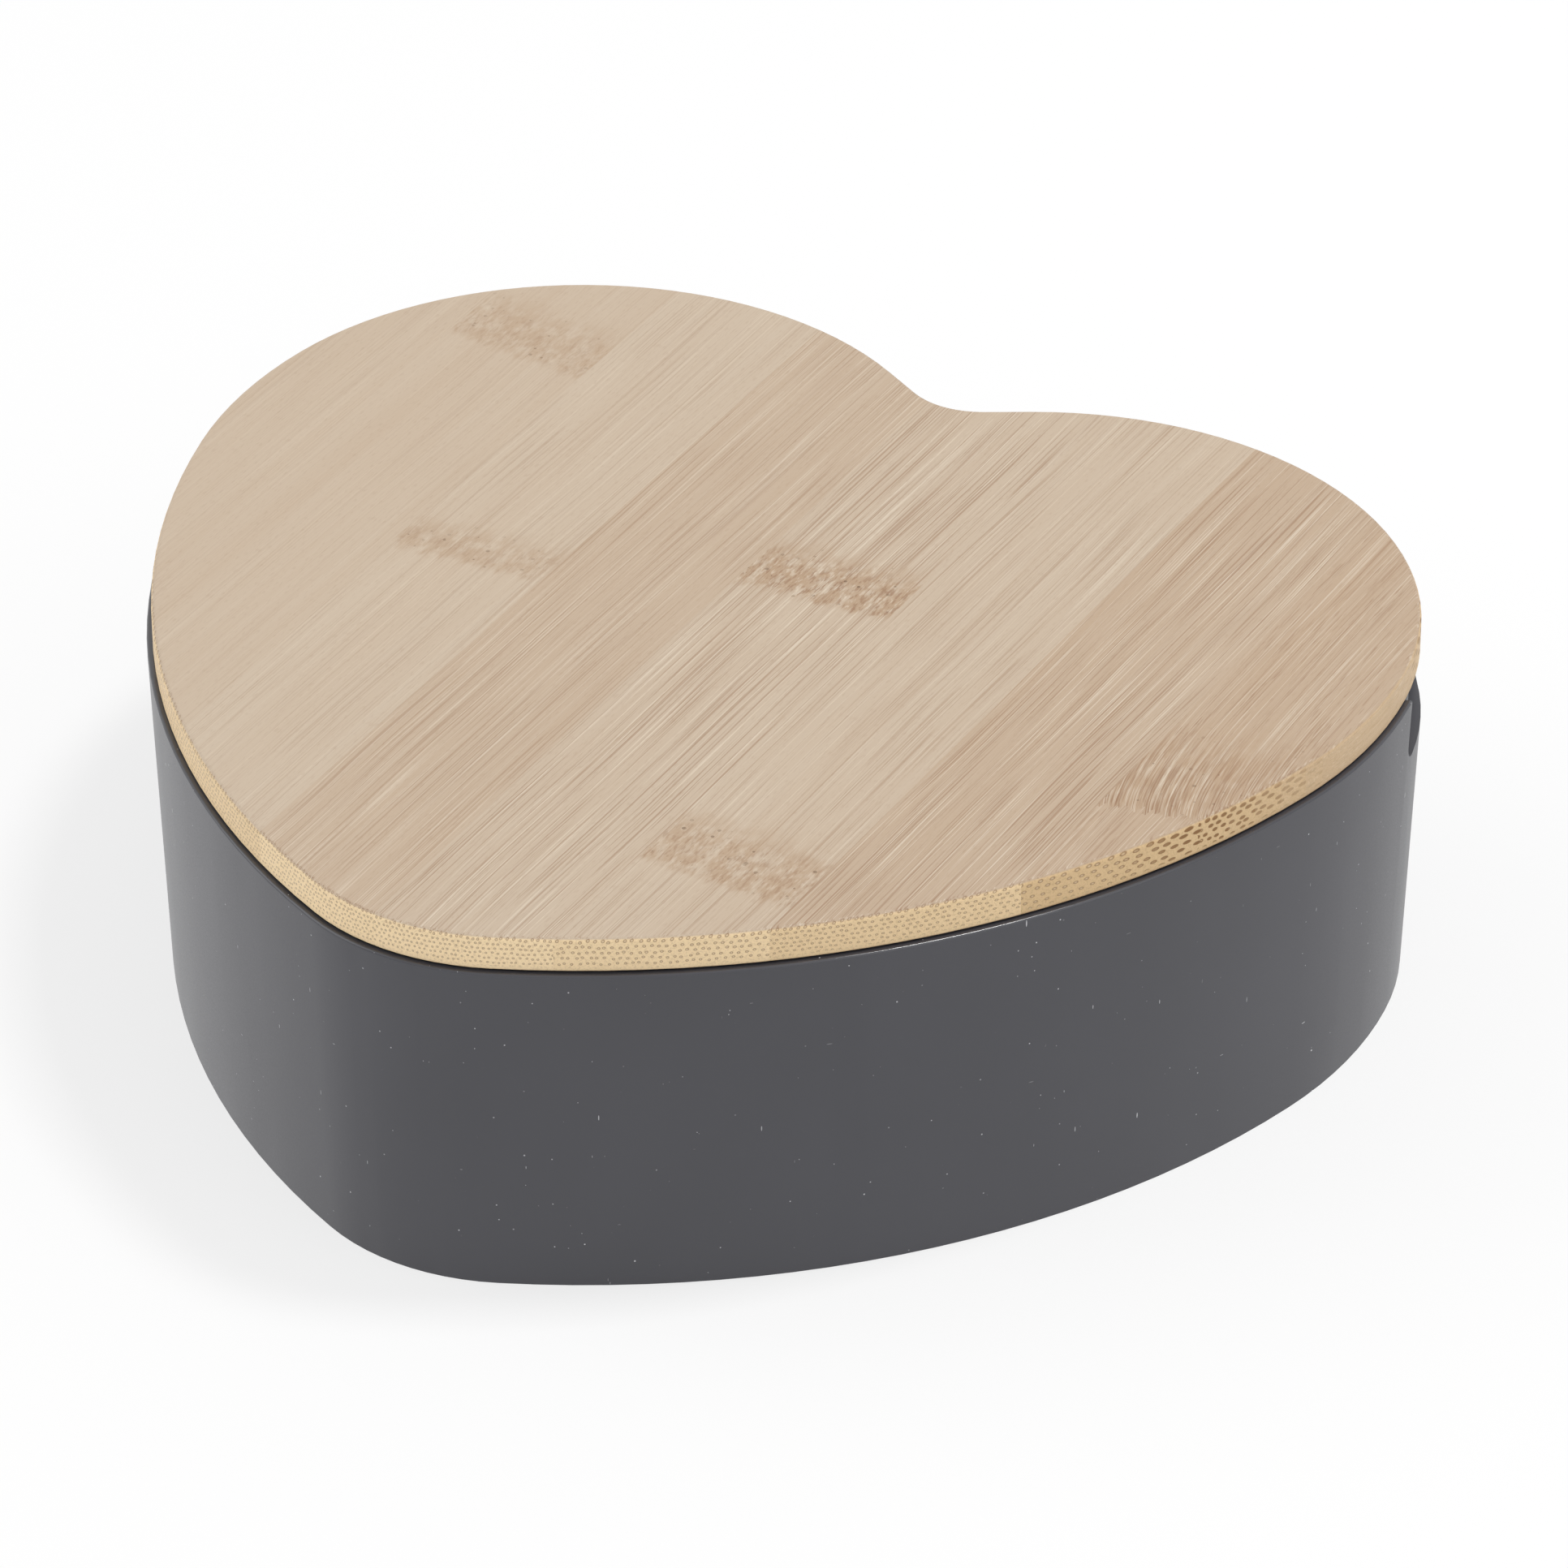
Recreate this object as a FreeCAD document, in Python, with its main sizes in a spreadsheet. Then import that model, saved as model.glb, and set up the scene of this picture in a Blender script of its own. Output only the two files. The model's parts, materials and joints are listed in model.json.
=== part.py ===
import FreeCAD, Part
import math
import os

import Sketcher

# Heart shaped wind up music box: a drafted plastic shell with a bamboo lift-off lid,
# an inner tray, and a spring driven movement under the tray in the left lobe.
# Millimetres, +Z up, +Y towards the cleft of the heart. The origin is on the table,
# under the middle of the rim.

# Driving sizes: name, value, what it measures
SIZES = [
    # Heart outline of the rim, a chain of tangent arcs; lobe centres at plus and minus lobe_x
    ("lobe_x", 39.6, "lobe centre from the middle line"),
    ("lobe_y", 31.4, "lobe centre behind the origin"),
    ("lobe_radius", 56.1, "back of a lobe"),
    ("flank_slope", 29.75, "straight flank beside the cleft, degrees"),
    ("cleft_radius", 10.9, "hollow of the cleft"),
    ("shoulder_radius", 74.7, "side of a lobe"),
    ("shoulder_angle", 9.4, "where the shoulder starts on the lobe, degrees"),
    ("side_radius", 141.3, "long side of the heart"),
    ("tip_radius", 35.6, "round front of the heart"),
    ("tip_y", -52.0, "centre of the front round"),
    # Shell and base
    ("rim_height", 53.9, "top edge of the wall above the table"),
    ("wall_draft", 1.85, "lean of the wall, degrees"),
    ("wall_thickness", 1.8, "shell wall at the rim"),
    ("rim_round", 0.4, "rounding of the rim's outer edge"),
    ("base_recess", 14.0, "underside of the base plate above the table"),
    ("base_thickness", 2.5, "base plate"),
    ("ledge_thickness", 2.4, "shell ledge under the base plate"),
    ("ledge_width", 9.0, "shell ledge, inward"),
    ("fit_gap", 0.25, "base plate and tray inside the shell"),
    ("recess_angle", 24.0, "middle of the finger recess round the lobe, degrees"),
    ("recess_width", 26.0, "finger recess along the rim"),
    ("recess_depth", 11.0, "finger recess below the rim"),
    ("recess_corner", 3.0, "lower corners of the finger recess"),
    # Tray
    ("tray_wall", 1.6, "tray wall"),
    ("tray_floor", 1.5, "tray floor"),
    ("tray_proud", 0.2, "tray rim above the shell rim"),
    ("divider_thickness", 2.0, "walls between the compartments"),
    ("bay_height", 26.8, "room for the movement under the shelf"),
    ("bay_roof", 1.5, "shelf over the movement"),
    ("bay_margin", 1.2, "tray wall from the movement's bed"),
    # Lid
    ("lid_inset", 0.87, "lid edge inside the rim's outer edge"),
    ("lid_thickness", 5.5, "bamboo board"),
    ("lid_round", 0.8, "upper edge of the board"),
    ("lid_under_round", 0.4, "lower edge of the board"),
    ("lid_ring_height", 4.0, "locating ring under the lid"),
    ("lid_ring_width", 7.0, "locating ring"),
    ("lid_ring_gap", 0.5, "locating ring inside the tray"),
    # Case screws
    ("case_screw_radius", 1.5, "shank"),
    ("case_head_radius", 2.8, "head"),
    ("case_head_height", 1.6, "head"),
    ("case_screw_grip", 2.2, "thread in the piece that it pulls on"),
    ("screw_play", 0.15, "clearance hole round a shank or a head"),
    ("ledge_screw_step", 4.2, "base screws from the base plate's edge"),
    ("side_screw_angle", 20.0, "screw at the side of a lobe, degrees"),
    ("back_screw_angle", 100.0, "screw at the back of a lobe, degrees"),
    # Small screws of the movement
    ("small_screw_radius", 0.8, "shank"),
    ("small_head_radius", 1.5, "head"),
    ("small_head_height", 0.9, "head"),
    ("small_screw_grip", 2.6, "thread in the piece that it pulls on"),
    # Movement: its own origin is on the barrel axis at the bed's underside
    ("movement_x", -53.8, "barrel axis"),
    ("movement_y", 30.6, "barrel axis"),
    ("bed_thickness", 2.2, "cast bed"),
    ("bed_border", 0.8, "bed beyond what stands on it"),
    ("plate_gap", 0.35, "running gap beside wheels"),
    ("running_fit", 0.06, "radial play of a pivot in its hole"),
    ("frame_thickness", 1.6, "bracket plates and arms"),
    # Mainspring barrel
    ("crown_module", 0.6, "crown teeth"),
    ("crown_teeth", 36.0, "count"),
    ("crown_face", 1.4, "crown teeth, radially"),
    ("drum_lip", 0.5, "drum beyond the crown teeth"),
    ("drum_wall", 1.0, "drum side"),
    ("drum_floor", 0.8, "drum bottom"),
    ("drum_height", 7.0, "drum"),
    ("cover_thickness", 1.0, "barrel cover under the crown teeth"),
    ("spring_strip", 0.4, "mainspring strip thickness"),
    ("spring_step", 0.95, "mainspring from turn to turn"),
    ("spring_turns", 7.0, "count"),
    ("spring_clear", 0.3, "mainspring from the drum's floor and cover"),
    ("core_radius", 3.0, "arbor inside the mainspring"),
    ("wind_radius", 1.5, "winding arbor"),
    ("wind_pivot", 1.2, "winding arbor's upper pivot"),
    # Ratchet and click
    ("ratchet_radius", 6.0, "tips of the ratchet teeth"),
    ("ratchet_teeth", 14.0, "count"),
    ("ratchet_depth", 0.9, "ratchet teeth"),
    ("ratchet_thickness", 1.2, "ratchet wheel"),
    ("click_gap", 0.15, "click nose from the ratchet tips"),
    ("click_width", 2.4, "click lever"),
    ("click_length", 9.0, "click lever behind its nose"),
    ("click_leaf", 0.3, "click spring"),
    # Tooth form, in modules and in shares of the pitch
    ("addendum", 0.85, "tooth above the pitch line"),
    ("dedendum", 1.1, "tooth below the pitch line"),
    ("root_share", 0.5, "tooth width at its root"),
    ("tip_share", 0.2, "tooth width at its tip"),
    # Pinned cylinder and comb
    ("pinion_teeth", 18.0, "count"),
    ("pinion_width", 1.2, "pinion over the crown"),
    ("cylinder_radius", 6.5, "sleeve"),
    ("cylinder_gap", 0.6, "sleeve from the drum and beside the end tracks"),
    ("pin_radius", 0.22, "pin"),
    ("pin_height", 0.6, "pin"),
    ("pins_per_track", 4.0, "count"),
    ("cylinder_arbor_radius", 1.2, "arbor"),
    ("pivot_radius", 0.8, "cylinder pivots"),
    ("comb_teeth", 18.0, "count"),
    ("comb_pitch", 1.08, "tooth to tooth"),
    ("comb_slot", 0.28, "slot between teeth"),
    ("comb_thickness", 1.2, "comb"),
    ("comb_reach", 7.5, "free length of a tooth"),
    ("comb_foot", 6.0, "clamped width of the comb"),
    ("comb_gap", 0.25, "tooth tips from the pin tips"),
    ("comb_screw_step", 4.0, "comb screws from its ends"),
    # Governor
    ("gear_module", 0.5, "governor gears and worm"),
    ("gear_teeth", 30.0, "count"),
    ("gear_width", 1.6, "governor gears"),
    ("governor_teeth", 12.0, "count"),
    ("governor_drop", 30.0, "governor arbor below the cylinder, degrees"),
    ("governor_radius", 1.0, "governor arbor"),
    ("governor_pivot", 0.7, "governor arbor's outer pivot"),
    ("wheel_teeth", 16.0, "count"),
    ("worm_radius", 1.5, "worm pitch radius"),
    ("worm_pivot", 0.6, "worm shaft pivots"),
    ("worm_turns_below", 3.25, "worm turns under the wheel's middle"),
    ("worm_turns", 6.0, "count"),
    ("fan_radius", 4.2, "air fan"),
    ("fan_height", 3.6, "air fan"),
    ("fan_blade", 0.6, "blade thickness"),
    ("fan_hub", 1.7, "hub"),
    ("bearing_wall", 2.5, "metal round a bearing hole"),
    # Winding key
    ("key_gap", 0.8, "key hub below the base plate"),
    ("key_hub_radius", 3.5, "hub"),
    ("key_hub_height", 9.5, "hub"),
    ("key_wing_radius", 4.6, "round wing"),
    ("key_wing_step", 7.6, "wing centre from the axis"),
    ("key_wing_thickness", 2.2, "wing"),
    ("key_eye_radius", 2.0, "hole in a wing"),
    # Start and stop rod under the lid
    ("stop_radius", 1.5, "rod"),
    ("stop_step", 8.4, "rod from the fan's axis"),
    ("stop_lid_gap", 0.2, "rod under the closed lid"),
    ("stop_travel", 3.6, "rise of the rod when the lid is off"),
    ("collar_radius", 2.8, "collar on the rod"),
    ("collar_height", 1.2, "collar on the rod"),
    ("collar_drop", 0.6, "collar below the fan's lower edge"),
    ("arm_width", 1.2, "brake arm"),
    ("arm_thickness", 1.0, "brake arm"),
    ("guide_height", 6.8, "lower guide above the bed"),
    ("guide_depth", 4.0, "rod inside its lower guide"),
    ("coil_radius", 2.2, "stop spring, middle of the wire"),
    ("coil_wire", 0.25, "stop spring wire radius"),
    ("coil_turns", 6.0, "count"),
    ("bush_wall", 1.1, "guide bush in the shelf"),
    ("bush_flange", 1.4, "guide bush flange beyond its sleeve"),
    ("bush_flange_height", 0.8, "guide bush flange"),
]

doc = FreeCAD.newDocument("music_box")
dims = doc.addObject("Spreadsheet::Sheet", "dims")
for row, (name, size, note) in enumerate(SIZES, start=1):
    dims.set("A%d" % row, name)
    dims.set("B%d" % row, str(size))
    dims.set("C%d" % row, note)
    dims.setAlias("B%d" % row, name)
doc.recompute()

pieces = []

UPRIGHT = (FreeCAD.Vector(0, 0, 1), 0)
ALONG_X = (FreeCAD.Vector(0, 1, 0), 90)
ALONG_Y = (FreeCAD.Vector(1, 0, 0), -90)


def number(expression):
    """Present value of an expression on the sheet."""
    return float(dims.evalExpression(expression))


def wrap(expression):
    return "(" + expression + ")"


def plus(*terms):
    return " + ".join(wrap(term) for term in terms)


def minus(first, *others):
    return " - ".join(wrap(term) for term in (first,) + others)


def half(expression):
    return wrap(expression) + " / 2"


def keep(piece):
    """Marks a finished sub-part, whose label names its file."""
    pieces.append(piece)
    return piece


# Primitives bound to the sheet

def seat(item, place, turn=UPRIGHT):
    item.Placement = FreeCAD.Placement(FreeCAD.Vector(), FreeCAD.Rotation(*turn))
    for axis, expression in zip("xyz", place):
        item.setExpression("Placement.Base." + axis, expression)


def rod(name, radius, length, place, turn=UPRIGHT):
    item = doc.addObject("Part::Cylinder", name)
    item.setExpression("Radius", radius)
    item.setExpression("Height", length)
    seat(item, place, turn)
    return item


def block(name, low, high):
    """Box between two corners, each three expressions."""
    item = doc.addObject("Part::Box", name)
    for side, start, end in zip(("Length", "Width", "Height"), low, high):
        item.setExpression(side, minus(end, start))
    seat(item, low)
    return item


def join(label, *items):
    item = doc.addObject("Part::MultiFuse", label)
    item.Shapes = list(items)
    item.Refine = True
    return item


def group(label, items):
    item = doc.addObject("Part::Compound", label)
    item.Links = list(items)
    return item


def carve(label, base, *tools):
    item = doc.addObject("Part::Cut", label)
    item.Base = base
    item.Tool = tools[0] if len(tools) == 1 else join(label + "_cutters", *tools)
    item.Refine = True
    return item


# Sketches and features bound to the sheet

def new_body(label):
    return doc.addObject("PartDesign::Body", label)


def origin_part(body, role):
    return next(part for part in body.Origin.OriginFeatures if part.Role == role)


def new_sketch(body, name, role="XY_Plane", lift="0"):
    sketch = body.newObject("Sketcher::SketchObject", name)
    sketch.AttachmentSupport = (origin_part(body, role), [""])
    sketch.MapMode = "FlatFace"
    sketch.setExpression("AttachmentOffset.Base.z", lift)
    return sketch


def hold(sketch, kind, where, expression, scale=1.0):
    """Adds a dimension to a sketch and binds it to an expression."""
    index = sketch.addConstraint(Sketcher.Constraint(kind, *where, number(expression) * scale))
    sketch.setExpression("Constraints[%d]" % index, expression)


def outline(sketch, corners):
    """Closed outline of straight lines through corners given as pairs of expressions."""
    spots = [FreeCAD.Vector(number(x), number(y), 0) for x, y in corners]
    count = len(spots)
    for here in range(count):
        sketch.addGeometry(Part.LineSegment(spots[here], spots[(here + 1) % count]), False)
    for here in range(count):
        sketch.addConstraint(Sketcher.Constraint("Coincident", here, 2, (here + 1) % count, 1))
    for here, (x, y) in enumerate(corners):
        hold(sketch, "DistanceX", (-1, 1, here, 1), x)
        hold(sketch, "DistanceY", (-1, 1, here, 1), y)


def ring(sketch, radius):
    """Circle about the sketch's origin."""
    edge = Part.Circle(FreeCAD.Vector(), FreeCAD.Vector(0, 0, 1), number(radius))
    index = sketch.addGeometry(edge, False)
    sketch.addConstraint(Sketcher.Constraint("Coincident", index, 3, -1, 1))
    hold(sketch, "Radius", (index,), radius)


def pad(body, sketch, length, down=False, taper=None):
    feature = body.newObject("PartDesign::Pad", sketch.Name + "_pad")
    feature.Profile = sketch
    feature.setExpression("Length", length)
    feature.Reversed = down
    if taper:
        feature.setExpression("TaperAngle", taper)
    return feature


def pocket(body, sketch, length, up=False, taper=None):
    feature = body.newObject("PartDesign::Pocket", sketch.Name + "_pocket")
    feature.Profile = sketch
    feature.setExpression("Length", length)
    feature.Reversed = up
    if taper:
        feature.setExpression("TaperAngle", taper)
    return feature


def repeat_round(body, feature, count):
    """Copies a feature evenly round the body's Z axis."""
    pattern = body.newObject("PartDesign::PolarPattern", feature.Name + "_round")
    pattern.Originals = [feature]
    pattern.Axis = (origin_part(body, "Z_Axis"), [""])
    pattern.Angle = 360
    pattern.setExpression("Occurrences", count)
    body.Tip = pattern
    return pattern


def fillet_edges(body, name, radius, wanted):
    """Rounds the edges of the body's tip that a test picks out."""
    doc.recompute()
    base = body.Tip
    chosen = ["Edge%d" % i for i, edge in enumerate(base.Shape.Edges, start=1) if wanted(edge)]
    feature = body.newObject("PartDesign::Fillet", name)
    feature.Base = (base, chosen)
    feature.setExpression("Radius", radius)
    return feature


def at_level(expression):
    """Test for edges that lie flat at one height."""
    level = number(expression)

    def wanted(edge):
        box = edge.BoundBox
        return abs(box.ZMin - level) < 1e-4 and abs(box.ZMax - level) < 1e-4
    return wanted


# Heart outline, parallel to the rim's outline at an inset

def polar(centre, radius, angle):
    return FreeCAD.Vector(centre[0] + radius * math.cos(angle), centre[1] + radius * math.sin(angle), 0)


def heart_arc(sketch, centre, radius, start, end):
    middle = FreeCAD.Vector(centre[0], centre[1], 0)
    circle = Part.Circle(middle, FreeCAD.Vector(0, 0, 1), radius)
    return sketch.addGeometry(Part.ArcOfCircle(circle, start, end), False)


SHOULDER_STEP = "dims.shoulder_radius - dims.lobe_radius"
SHOULDER_Y = minus("dims.lobe_y", wrap(SHOULDER_STEP) + " * sin(dims.shoulder_angle)")


def heart(body, name, inset, lift):
    sketch = new_sketch(body, name, lift=lift)
    step = number(inset)
    lobe = (number("dims.lobe_x"), number("dims.lobe_y"))
    lobe_radius = number("dims.lobe_radius")
    tip = (0.0, number("dims.tip_y"))
    tip_radius = number("dims.tip_radius")
    side_radius = number("dims.side_radius")
    cleft_radius = number("dims.cleft_radius")
    shoulder_radius = number("dims.shoulder_radius")
    flank = math.radians(90 + number("dims.flank_slope"))
    turn = math.radians(number("dims.shoulder_angle"))
    reach = lobe[0] * math.cos(flank) + lobe[1] * math.sin(flank) + lobe_radius + cleft_radius
    cleft = (0.0, reach / math.sin(flank))
    shoulder = polar(lobe, lobe_radius - shoulder_radius, turn)
    # The side arc touches the shoulder and the tip from outside, so its centre is where
    # two circles round their centres cross, on the far side of the middle line
    away = side_radius - shoulder_radius
    near = side_radius - tip_radius
    line = FreeCAD.Vector(tip[0], tip[1], 0) - shoulder
    span = line.Length
    line.normalize()
    along = (span ** 2 + away ** 2 - near ** 2) / (2 * span)
    across = math.sqrt(away ** 2 - along ** 2)
    side = shoulder + line * along + FreeCAD.Vector(line.y, -line.x, 0) * across
    low_join = math.atan2(tip[1] - side.y, tip[0] - side.x)
    high_join = math.atan2(shoulder.y - side.y, shoulder.x - side.x)

    cleft_arc = heart_arc(sketch, cleft, cleft_radius + step, -flank, flank - math.pi)
    tip_arc = heart_arc(sketch, tip, tip_radius - step, -math.pi - low_join, low_join)
    chains = []
    for sign in (1, -1):
        def turned(start, end):
            return (start, end) if sign > 0 else (math.pi - end, math.pi - start)
        foot = polar(cleft, cleft_radius + step, flank - math.pi)
        head = polar(lobe, lobe_radius - step, flank)
        flank_line = sketch.addGeometry(Part.LineSegment(
            FreeCAD.Vector(sign * foot.x, foot.y, 0), FreeCAD.Vector(sign * head.x, head.y, 0)), False)
        lobe_arc = heart_arc(sketch, (sign * lobe[0], lobe[1]), lobe_radius - step, *turned(turn, flank))
        shoulder_arc = heart_arc(sketch, (sign * shoulder.x, shoulder.y), shoulder_radius - step,
                                 *turned(high_join, turn))
        side_arc = heart_arc(sketch, (sign * side.x, side.y), side_radius - step,
                             *turned(low_join, high_join))
        chains.append((flank_line, lobe_arc, shoulder_arc, side_arc))

    # Endpoint numbers: 1 start, 2 end, counter-clockwise, 3 centre
    for (flank_line, lobe_arc, shoulder_arc, side_arc), first, last in zip(chains, (2, 1), (1, 2)):
        joints = [(cleft_arc, first, flank_line, 1), (flank_line, 2, lobe_arc, first),
                  (lobe_arc, last, shoulder_arc, first), (shoulder_arc, last, side_arc, first),
                  (side_arc, last, tip_arc, first)]
        for joint in joints:
            sketch.addConstraint(Sketcher.Constraint("Tangent", *joint))
        hold(sketch, "Radius", (lobe_arc,), minus("dims.lobe_radius", inset))
        hold(sketch, "Radius", (shoulder_arc,), minus("dims.shoulder_radius", inset))
        hold(sketch, "Radius", (side_arc,), minus("dims.side_radius", inset))
        hold(sketch, "DistanceY", (-1, 1, shoulder_arc, 3), SHOULDER_Y)
    hold(sketch, "Radius", (cleft_arc,), plus("dims.cleft_radius", inset))
    hold(sketch, "Radius", (tip_arc,), minus("dims.tip_radius", inset))
    hold(sketch, "DistanceX", (-1, 1, chains[0][1], 3), "dims.lobe_x")
    hold(sketch, "DistanceY", (-1, 1, chains[0][1], 3), "dims.lobe_y")
    sketch.addConstraint(Sketcher.Constraint("Symmetric", chains[0][1], 3, chains[1][1], 3, -2))
    sketch.addConstraint(Sketcher.Constraint("PointOnObject", cleft_arc, 3, -2))
    sketch.addConstraint(Sketcher.Constraint("PointOnObject", tip_arc, 3, -2))
    hold(sketch, "DistanceY", (-1, 1, tip_arc, 3), "dims.tip_y")
    hold(sketch, "Angle", (chains[0][0],), "dims.flank_slope", math.radians(1))
    return sketch


def rim_spots(inset):
    """Five places round the heart, at an inset from the rim's outline."""
    spots = [("0", minus(plus("dims.tip_y", inset), "dims.tip_radius"))]
    for angle in ("dims.side_screw_angle", "dims.back_screw_angle"):
        reach = wrap(minus("dims.lobe_radius", inset))
        x = plus("dims.lobe_x", reach + " * cos(%s)" % angle)
        y = plus("dims.lobe_y", reach + " * sin(%s)" % angle)
        spots += [(x, y), ("-" + wrap(x), y)]
    return spots


DRAFT = "-dims.wall_draft"
BASE_TOP = plus("dims.base_recess", "dims.base_thickness")
LEDGE_FLOOR = minus("dims.base_recess", "dims.ledge_thickness")
TRAY_TOP = plus("dims.rim_height", "dims.tray_proud")
SHELF_TOP = plus(BASE_TOP, "dims.bay_height", "dims.bay_roof")
# Insets from the rim's outline
BASE_INSET = plus("dims.wall_thickness", "dims.fit_gap",
                  wrap(minus("dims.rim_height", "dims.base_recess")) + " * tan(dims.wall_draft)")
UNDER_INSET = plus("dims.wall_thickness", "dims.rim_height * tan(dims.wall_draft)")
LEDGE_INSET = plus(BASE_INSET, "dims.ledge_width")
SCREW_INSET = plus(BASE_INSET, "dims.ledge_screw_step")
TRAY_INSET = plus("dims.wall_thickness", "dims.fit_gap")
HOLLOW_INSET = plus(TRAY_INSET, "dims.tray_wall")
RING_INSET = plus(HOLLOW_INSET, "dims.lid_ring_gap")
RING_SCREW_INSET = plus(RING_INSET, half("dims.lid_ring_width"))


def screw(name, spot, seat_z, grip, up, sizes="case"):
    """Round headed screw: seat_z is the face under its head, grip the shank's length."""
    x, y = spot
    head_height = "dims.%s_head_height" % sizes
    head_z = minus(seat_z, head_height) if up else seat_z
    shank_z = seat_z if up else minus(seat_z, grip)
    head = rod(name + "_head", "dims.%s_head_radius" % sizes, head_height, (x, y, head_z))
    shank = rod(name + "_shank", "dims.%s_screw_radius" % sizes, grip, (x, y, shank_z))
    return join(name, head, shank)


# Casing

def finger_cutter(name, side):
    """Round cornered slot through the wall at one lobe, facing along its own X."""
    body = new_body(name)
    sketch = new_sketch(body, name + "_slot", "YZ_Plane")
    wide = half("dims.recess_width")
    top = plus(TRAY_TOP, "dims.recess_depth")
    low = minus("dims.rim_height", "dims.recess_depth")
    outline(sketch, [("-" + wrap(wide), low), (wide, low), (wide, top), ("-" + wrap(wide), top)])
    sketch.setExpression("AttachmentOffset.Base.z", minus("dims.lobe_radius", BASE_INSET))
    pad(body, sketch, plus("dims.shoulder_radius", "-dims.lobe_radius", BASE_INSET))
    level = number(low)

    def lower_corner(edge):
        box = edge.BoundBox
        return abs(box.ZMax - level) < 1e-4 and box.XLength > box.YLength
    fillet_edges(body, name + "_corners", "dims.recess_corner", lower_corner)
    seat(body, (wrap("dims.lobe_x") + " * %d" % side, "dims.lobe_y", "0"))
    angle = "dims.recess_angle" if side > 0 else minus("180", "dims.recess_angle")
    body.setExpression("Placement.Rotation.Angle", angle)
    return body


def make_shell():
    body = new_body("shell_moulding")
    rim = heart(body, "shell_outline", "0", "dims.rim_height")
    pad(body, rim, "dims.rim_height", down=True, taper=DRAFT)
    fillet_edges(body, "shell_rim_round", "dims.rim_round", at_level("dims.rim_height"))
    cavity = heart(body, "shell_cavity", "dims.wall_thickness", "dims.rim_height")
    pocket(body, cavity, minus("dims.rim_height", "dims.base_recess"), taper=DRAFT)
    pocket(body, heart(body, "shell_under", UNDER_INSET, "0"), LEDGE_FLOOR, up=True)
    pocket(body, heart(body, "shell_ledge", LEDGE_INSET, "dims.base_recess"), "dims.ledge_thickness")
    play = plus("dims.case_screw_radius", "dims.screw_play")
    holes = [rod("ledge_hole_%d" % i, play, "dims.ledge_thickness", (x, y, LEDGE_FLOOR))
             for i, (x, y) in enumerate(rim_spots(SCREW_INSET))]
    fingers = [finger_cutter("finger_right", 1), finger_cutter("finger_left", -1)]
    keep(carve("outer_shell", body, *fingers, *holes))


def make_base():
    body = new_body("base_blank")
    pad(body, heart(body, "base_outline", BASE_INSET, "dims.base_recess"), "dims.base_thickness")
    holes = [rod("base_hole_%d" % i, "dims.case_screw_radius", "dims.base_thickness",
                 (x, y, "dims.base_recess"))
             for i, (x, y) in enumerate(rim_spots(SCREW_INSET))]
    play = plus("dims.case_screw_radius", "dims.screw_play")
    holes += [rod("mount_hole_%d" % i, play, "dims.base_thickness", (x, y, "dims.base_recess"))
              for i, (x, y, z) in enumerate(movement_spots())]
    arbor_hole = plus("dims.wind_radius", "dims.key_gap")
    holes.append(rod("arbor_hole", arbor_hole, "dims.base_thickness",
                     ("dims.movement_x", "dims.movement_y", "dims.base_recess")))
    keep(carve("base_plate", body, *holes))
    grip = plus("dims.ledge_thickness", "dims.case_screw_grip")
    keep(group("base_screws", [screw("base_screw_%d" % i, spot, LEDGE_FLOOR, grip, True)
                               for i, spot in enumerate(rim_spots(SCREW_INSET))]))
    grip = plus("dims.base_thickness", "dims.bed_thickness")
    keep(group("movement_screws", [screw("movement_screw_%d" % i, (x, y), "dims.base_recess", grip, True)
                                   for i, (x, y, z) in enumerate(movement_spots())]))


def make_tray():
    def drafted(name, inset, floor):
        """Heart that narrows from the tray's rim down to a floor."""
        body = new_body(name)
        edge = heart(body, name + "_outline", inset, TRAY_TOP)
        pad(body, edge, minus(TRAY_TOP, floor), down=True, taper=DRAFT)
        return body

    outer = drafted("tray_block", TRAY_INSET, BASE_TOP)
    hollow = drafted("tray_hollow", HOLLOW_INSET, plus(BASE_TOP, "dims.tray_floor"))
    under = drafted("tray_under", HOLLOW_INSET, BASE_TOP)
    right = plus("dims.lobe_x", "dims.shoulder_radius")
    left = "-" + wrap(right)
    back = plus("dims.lobe_y", "dims.lobe_radius")
    bay_front = minus(plus("dims.movement_y", BED_FRONT), "dims.bay_margin")
    bay_right = plus("dims.movement_x", BED_RIGHT, "dims.bay_margin")
    front_wall = minus(bay_front, "dims.divider_thickness")
    shelf = block("shelf_block", (left, front_wall, BASE_TOP),
                  (plus(bay_right, "dims.divider_thickness"), back, SHELF_TOP))
    divider = block("divider_block", (bay_right, front_wall, BASE_TOP), (right, bay_front, SHELF_TOP))
    compartments = carve("tray_compartments", hollow, shelf, divider)
    # The movement's bay is open below and reaches out to the tray's own wall
    bay = doc.addObject("Part::Common", "movement_bay")
    bay.Base = under
    bay.Tool = block("bay_block", (left, bay_front, BASE_TOP),
                     (bay_right, back, plus(BASE_TOP, "dims.bay_height")))
    bush = rod("bush_hole", BUSH_RADIUS, plus("dims.bay_roof", "dims.bay_height"), at(STOP_X, WORM_Y, "0"))
    keep(carve("liner_tray", outer, compartments, bay, bush))


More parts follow.
